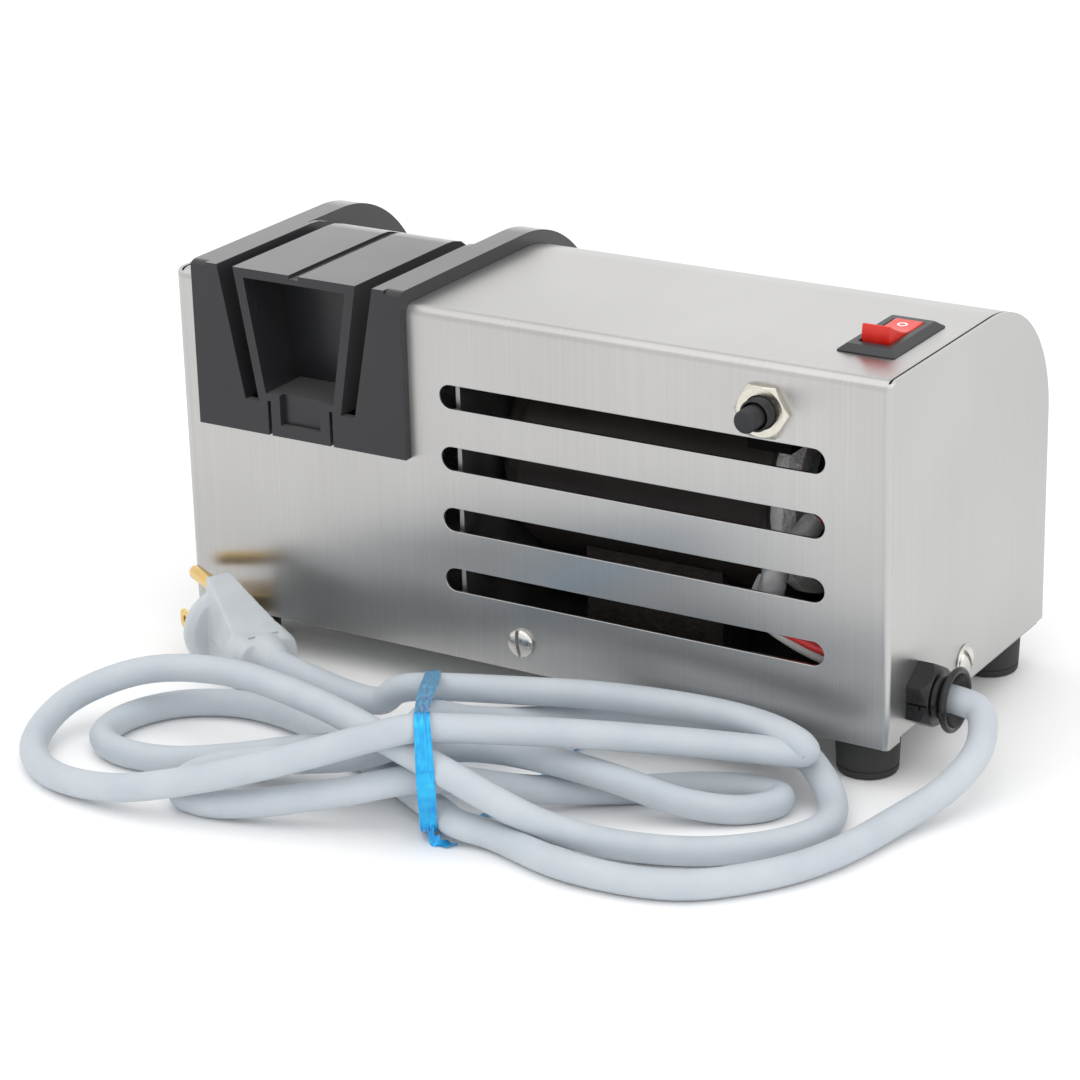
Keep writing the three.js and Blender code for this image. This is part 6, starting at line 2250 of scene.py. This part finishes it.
@dataclass
class Works:
    """What shows through the slots: wheels, motor, fan and wires."""

    axis_at: Point3 = (0.0, *LAYOUT.shaft)
    shaft_hole: float = 4.1
    wheel_radius: float = 30.0
    wheel_reach: Point3 = (4.0, 13.8, 17.4)
    wheel_hub: float = 10.0
    can: Point2 = (112.0, 200.0)
    can_radius: float = 36.0
    can_hole: float = 27.0
    can_groove: float = 0.25
    fan: Point2 = (209.5, 219.0)
    fan_radius: float = 29.0
    blade: Point3 = (0.8, 8.0, 27.4)
    blade_count: int = 8
    wire_radius: float = 1.65
    sleeve_radius: float = 3.9
    sleeve_sides: int = 20
    sleeve_end: float = 0.72
    wires: dict[str, tuple[Point3, ...]] = field(default_factory=lambda: {
        "red": (
            (241.7, 16.9, 24.0), (238.4, 16.9, 24.0), (234.0, 11.0, 33.0), (218.0, 8.0, 39.0),
            (206.0, 9.0, 44.0), (208.0, 12.0, 60.0), (222.5, 22.0, 80.0), (222.5, 38.0, 100.0),
            (216.0, 47.0, 108.0), (212.7, 46.0, 109.6), (212.7, 41.3, 109.6),
        ),
        "black": (
            (205.7, 41.3, 109.6), (205.7, 46.0, 109.0), (211.0, 51.0, 104.0), (222.5, 45.0, 98.0),
            (230.0, 36.0, 87.0), (231.7, 32.3, 89.0), (231.7, 32.25, 94.7),
        ),
        "white": (
            (241.7, 20.5, 27.6), (238.4, 20.5, 27.6), (226.0, 15.0, 30.0), (206.0, 14.0, 37.0),
            (197.0, 17.0, 41.0), (195.0, 22.3, 45.0), (195.0, 26.5, 48.2),
        ),
        "green": (
            (241.7, 24.1, 24.0), (238.4, 24.1, 24.0), (234.0, 33.0, 22.0), (227.0, 43.0, 17.5),
            (225.0, 52.0, 16.45),
        ),
    })

    def wheel(self, side: int) -> None:
        """Makes one grinding wheel, dished outside and flat inside, which turns with the rotor.

        Args:
            side: -1 for the left wheel and 1 for the right one.
        """
        inner, hub, rim = (side * reach for reach in self.wheel_reach)
        hole, r = self.shaft_hole, self.wheel_radius
        profile = [
            (hole, inner), (r, inner), (r, rim - side), (r - 0.4, rim - side * 0.3), (r - 1.0, rim),
            (self.wheel_hub, hub), (hole, hub),
        ]
        name = "left" if side < 0 else "right"
        wheel = lathe("grinding_wheel_" + name, Axis.X, profile, (LAYOUT.guide, *LAYOUT.shaft), 120)
        dress(smooth(wheel, 35.0), PAINTS.stone, "rotor", "wheel_" + name)

    def motor(self) -> None:
        """Makes the smooth motor can with a rolled edge at each end."""
        r, inset = self.can_radius, self.can_radius - self.can_groove
        edge = [(self.can_hole, 0.0), (r - 0.8, 0.0), (r - 0.2, 0.3), (r, 0.9), (r, 3.0), (inset, 3.4)]
        start, stop = self.can
        profile = [(u, start + along) for u, along in edge] + [(u, stop - along) for u, along in edge[::-1]]
        can = lathe("motor_shell", Axis.X, profile, self.axis_at, 128)
        dress(smooth(can, 40.0), PAINTS.can, "case", "motor_can")

    def cooling(self) -> None:
        """Makes the cooling fan: a disc with a hub, and blades set round it."""
        start, stop = self.fan
        half, low, high = self.blade
        blade = block((start + 1.0, -half, low), (stop, half, high))
        shift(blade, ORIGIN * MM)
        centre = place(self.axis_at)
        around = (0.0, centre.y, centre.z)
        blades = wheel_tree().use(blade, PAINTS.fan, Count=self.blade_count, Centre=around)
        shift(blades, (-ORIGIN.x * MM, 0.0, 0.0))
        hole, r = self.shaft_hole, self.fan_radius
        profile = [
            (hole, start), (r - 0.4, start), (r, start + 0.4), (r - 0.4, start + 1.6), (9.6, start + 1.6),
            (9.0, start + 2.4), (8.8, stop), (hole, stop),
        ]
        disc = lathe("cooling_fan_wheel", Axis.X, profile, self.axis_at, 72)
        combine(disc, Joining.ADD, [blades])
        dress(smooth(disc, 35.0), PAINTS.fan, "rotor", "cooling_fan")

    def wiring(self) -> None:
        """Makes the wires."""
        paints = {
            "red": PAINTS.wire_red, "black": PAINTS.wire_black, "white": PAINTS.wire_white,
            "green": PAINTS.wire_green,
        }
        for colour, knots in self.wires.items():
            route = Route([Vector(p) for p in knots], 8)
            wire = tube("insulated_wire_" + colour, route, self.wire_radius, 14)
            dress(wire, paints[colour], "case", "wire_" + colour)

    def sleeve(self) -> None:
        """Makes the clear, crumpled sleeve on the red wire."""
        route = Route([Vector(p) for p in self.wires["red"][4:7]], 10)
        frames = route.frames()[2:18]
        loops = []
        for i, (point, side, across) in enumerate(frames):
            share = self.sleeve_end if i in (0, len(frames) - 1) else 1.0
            loop = []
            for a in circle(self.sleeve_sides):
                crumple = noise.noise(Vector((cos(a) * 1.6, sin(a) * 1.6, i * 0.45)))
                reach = (self.sleeve_radius + crumple) * share
                loop.append(tuple(point + (side * cos(a) + across * sin(a)) * reach))
            loops.append(loop)
        dress(smooth(loft("clear_sleeve", loops), 60.0), PAINTS.clear, "case")

    def build(self) -> None:
        """Makes the works and gives the other solids their finishes."""
        for side in (-1, 1):
            self.wheel(side)
        self.motor()
        self.cooling()
        self.wiring()
        self.sleeve()
        repaint(PAINTS.zinc, "base_plate", "bulkhead", "rotor_core")
        repaint(PAINTS.shaft, "drive_shaft", "bearing_drive", "bearing_rear", "wheel_spacer", "wheel_nut")
        repaint(PAINTS.casting, "motor_end_bell_rear")
        repaint(PAINTS.dark_casting, "motor_end_bell_drive", "motor_cradle")
        repaint(PAINTS.screw, "cradle_screw_front", "cradle_screw_back", "ground_screw")
        repaint(PAINTS.brass, "switch_terminal_front", "switch_terminal_back")
        repaint(PAINTS.brass, "breaker_terminal_left", "breaker_terminal_right")


def main() -> None:
    """Builds every sub-assembly in order and reports each one."""
    logging.basicConfig(level=logging.INFO, format="%(name)s: %(message)s")
    studio = Studio()
    studio.camera()
    plug, lead = Plug(), MainsLead()
    cord, route = lead.build(plug)
    LOG.info("lead of %.0f mm", route.length())
    on_cord = plug.build() + TwistTie(lead).build(route)
    route.length() * MM
    LOG.info("plug and tie")
    case = Case()
    builders: dict[str, Callable[[], None]] = {
        "case": case.build,
        "feet and screws": Fasteners().build,
        "guide saddle": GuideSaddle(case).build,
        "switch": RockerSwitch().build,
        "breaker": ResetBreaker().build,
        "strain relief": StrainRelief().build,
        "works": Works().build,
        "floor": studio.ground,
        "light": studio.light,
    }
    for name, build in builders.items():
        build()
        LOG.info("%s done", name)


if __name__ == "__main__":
    main()
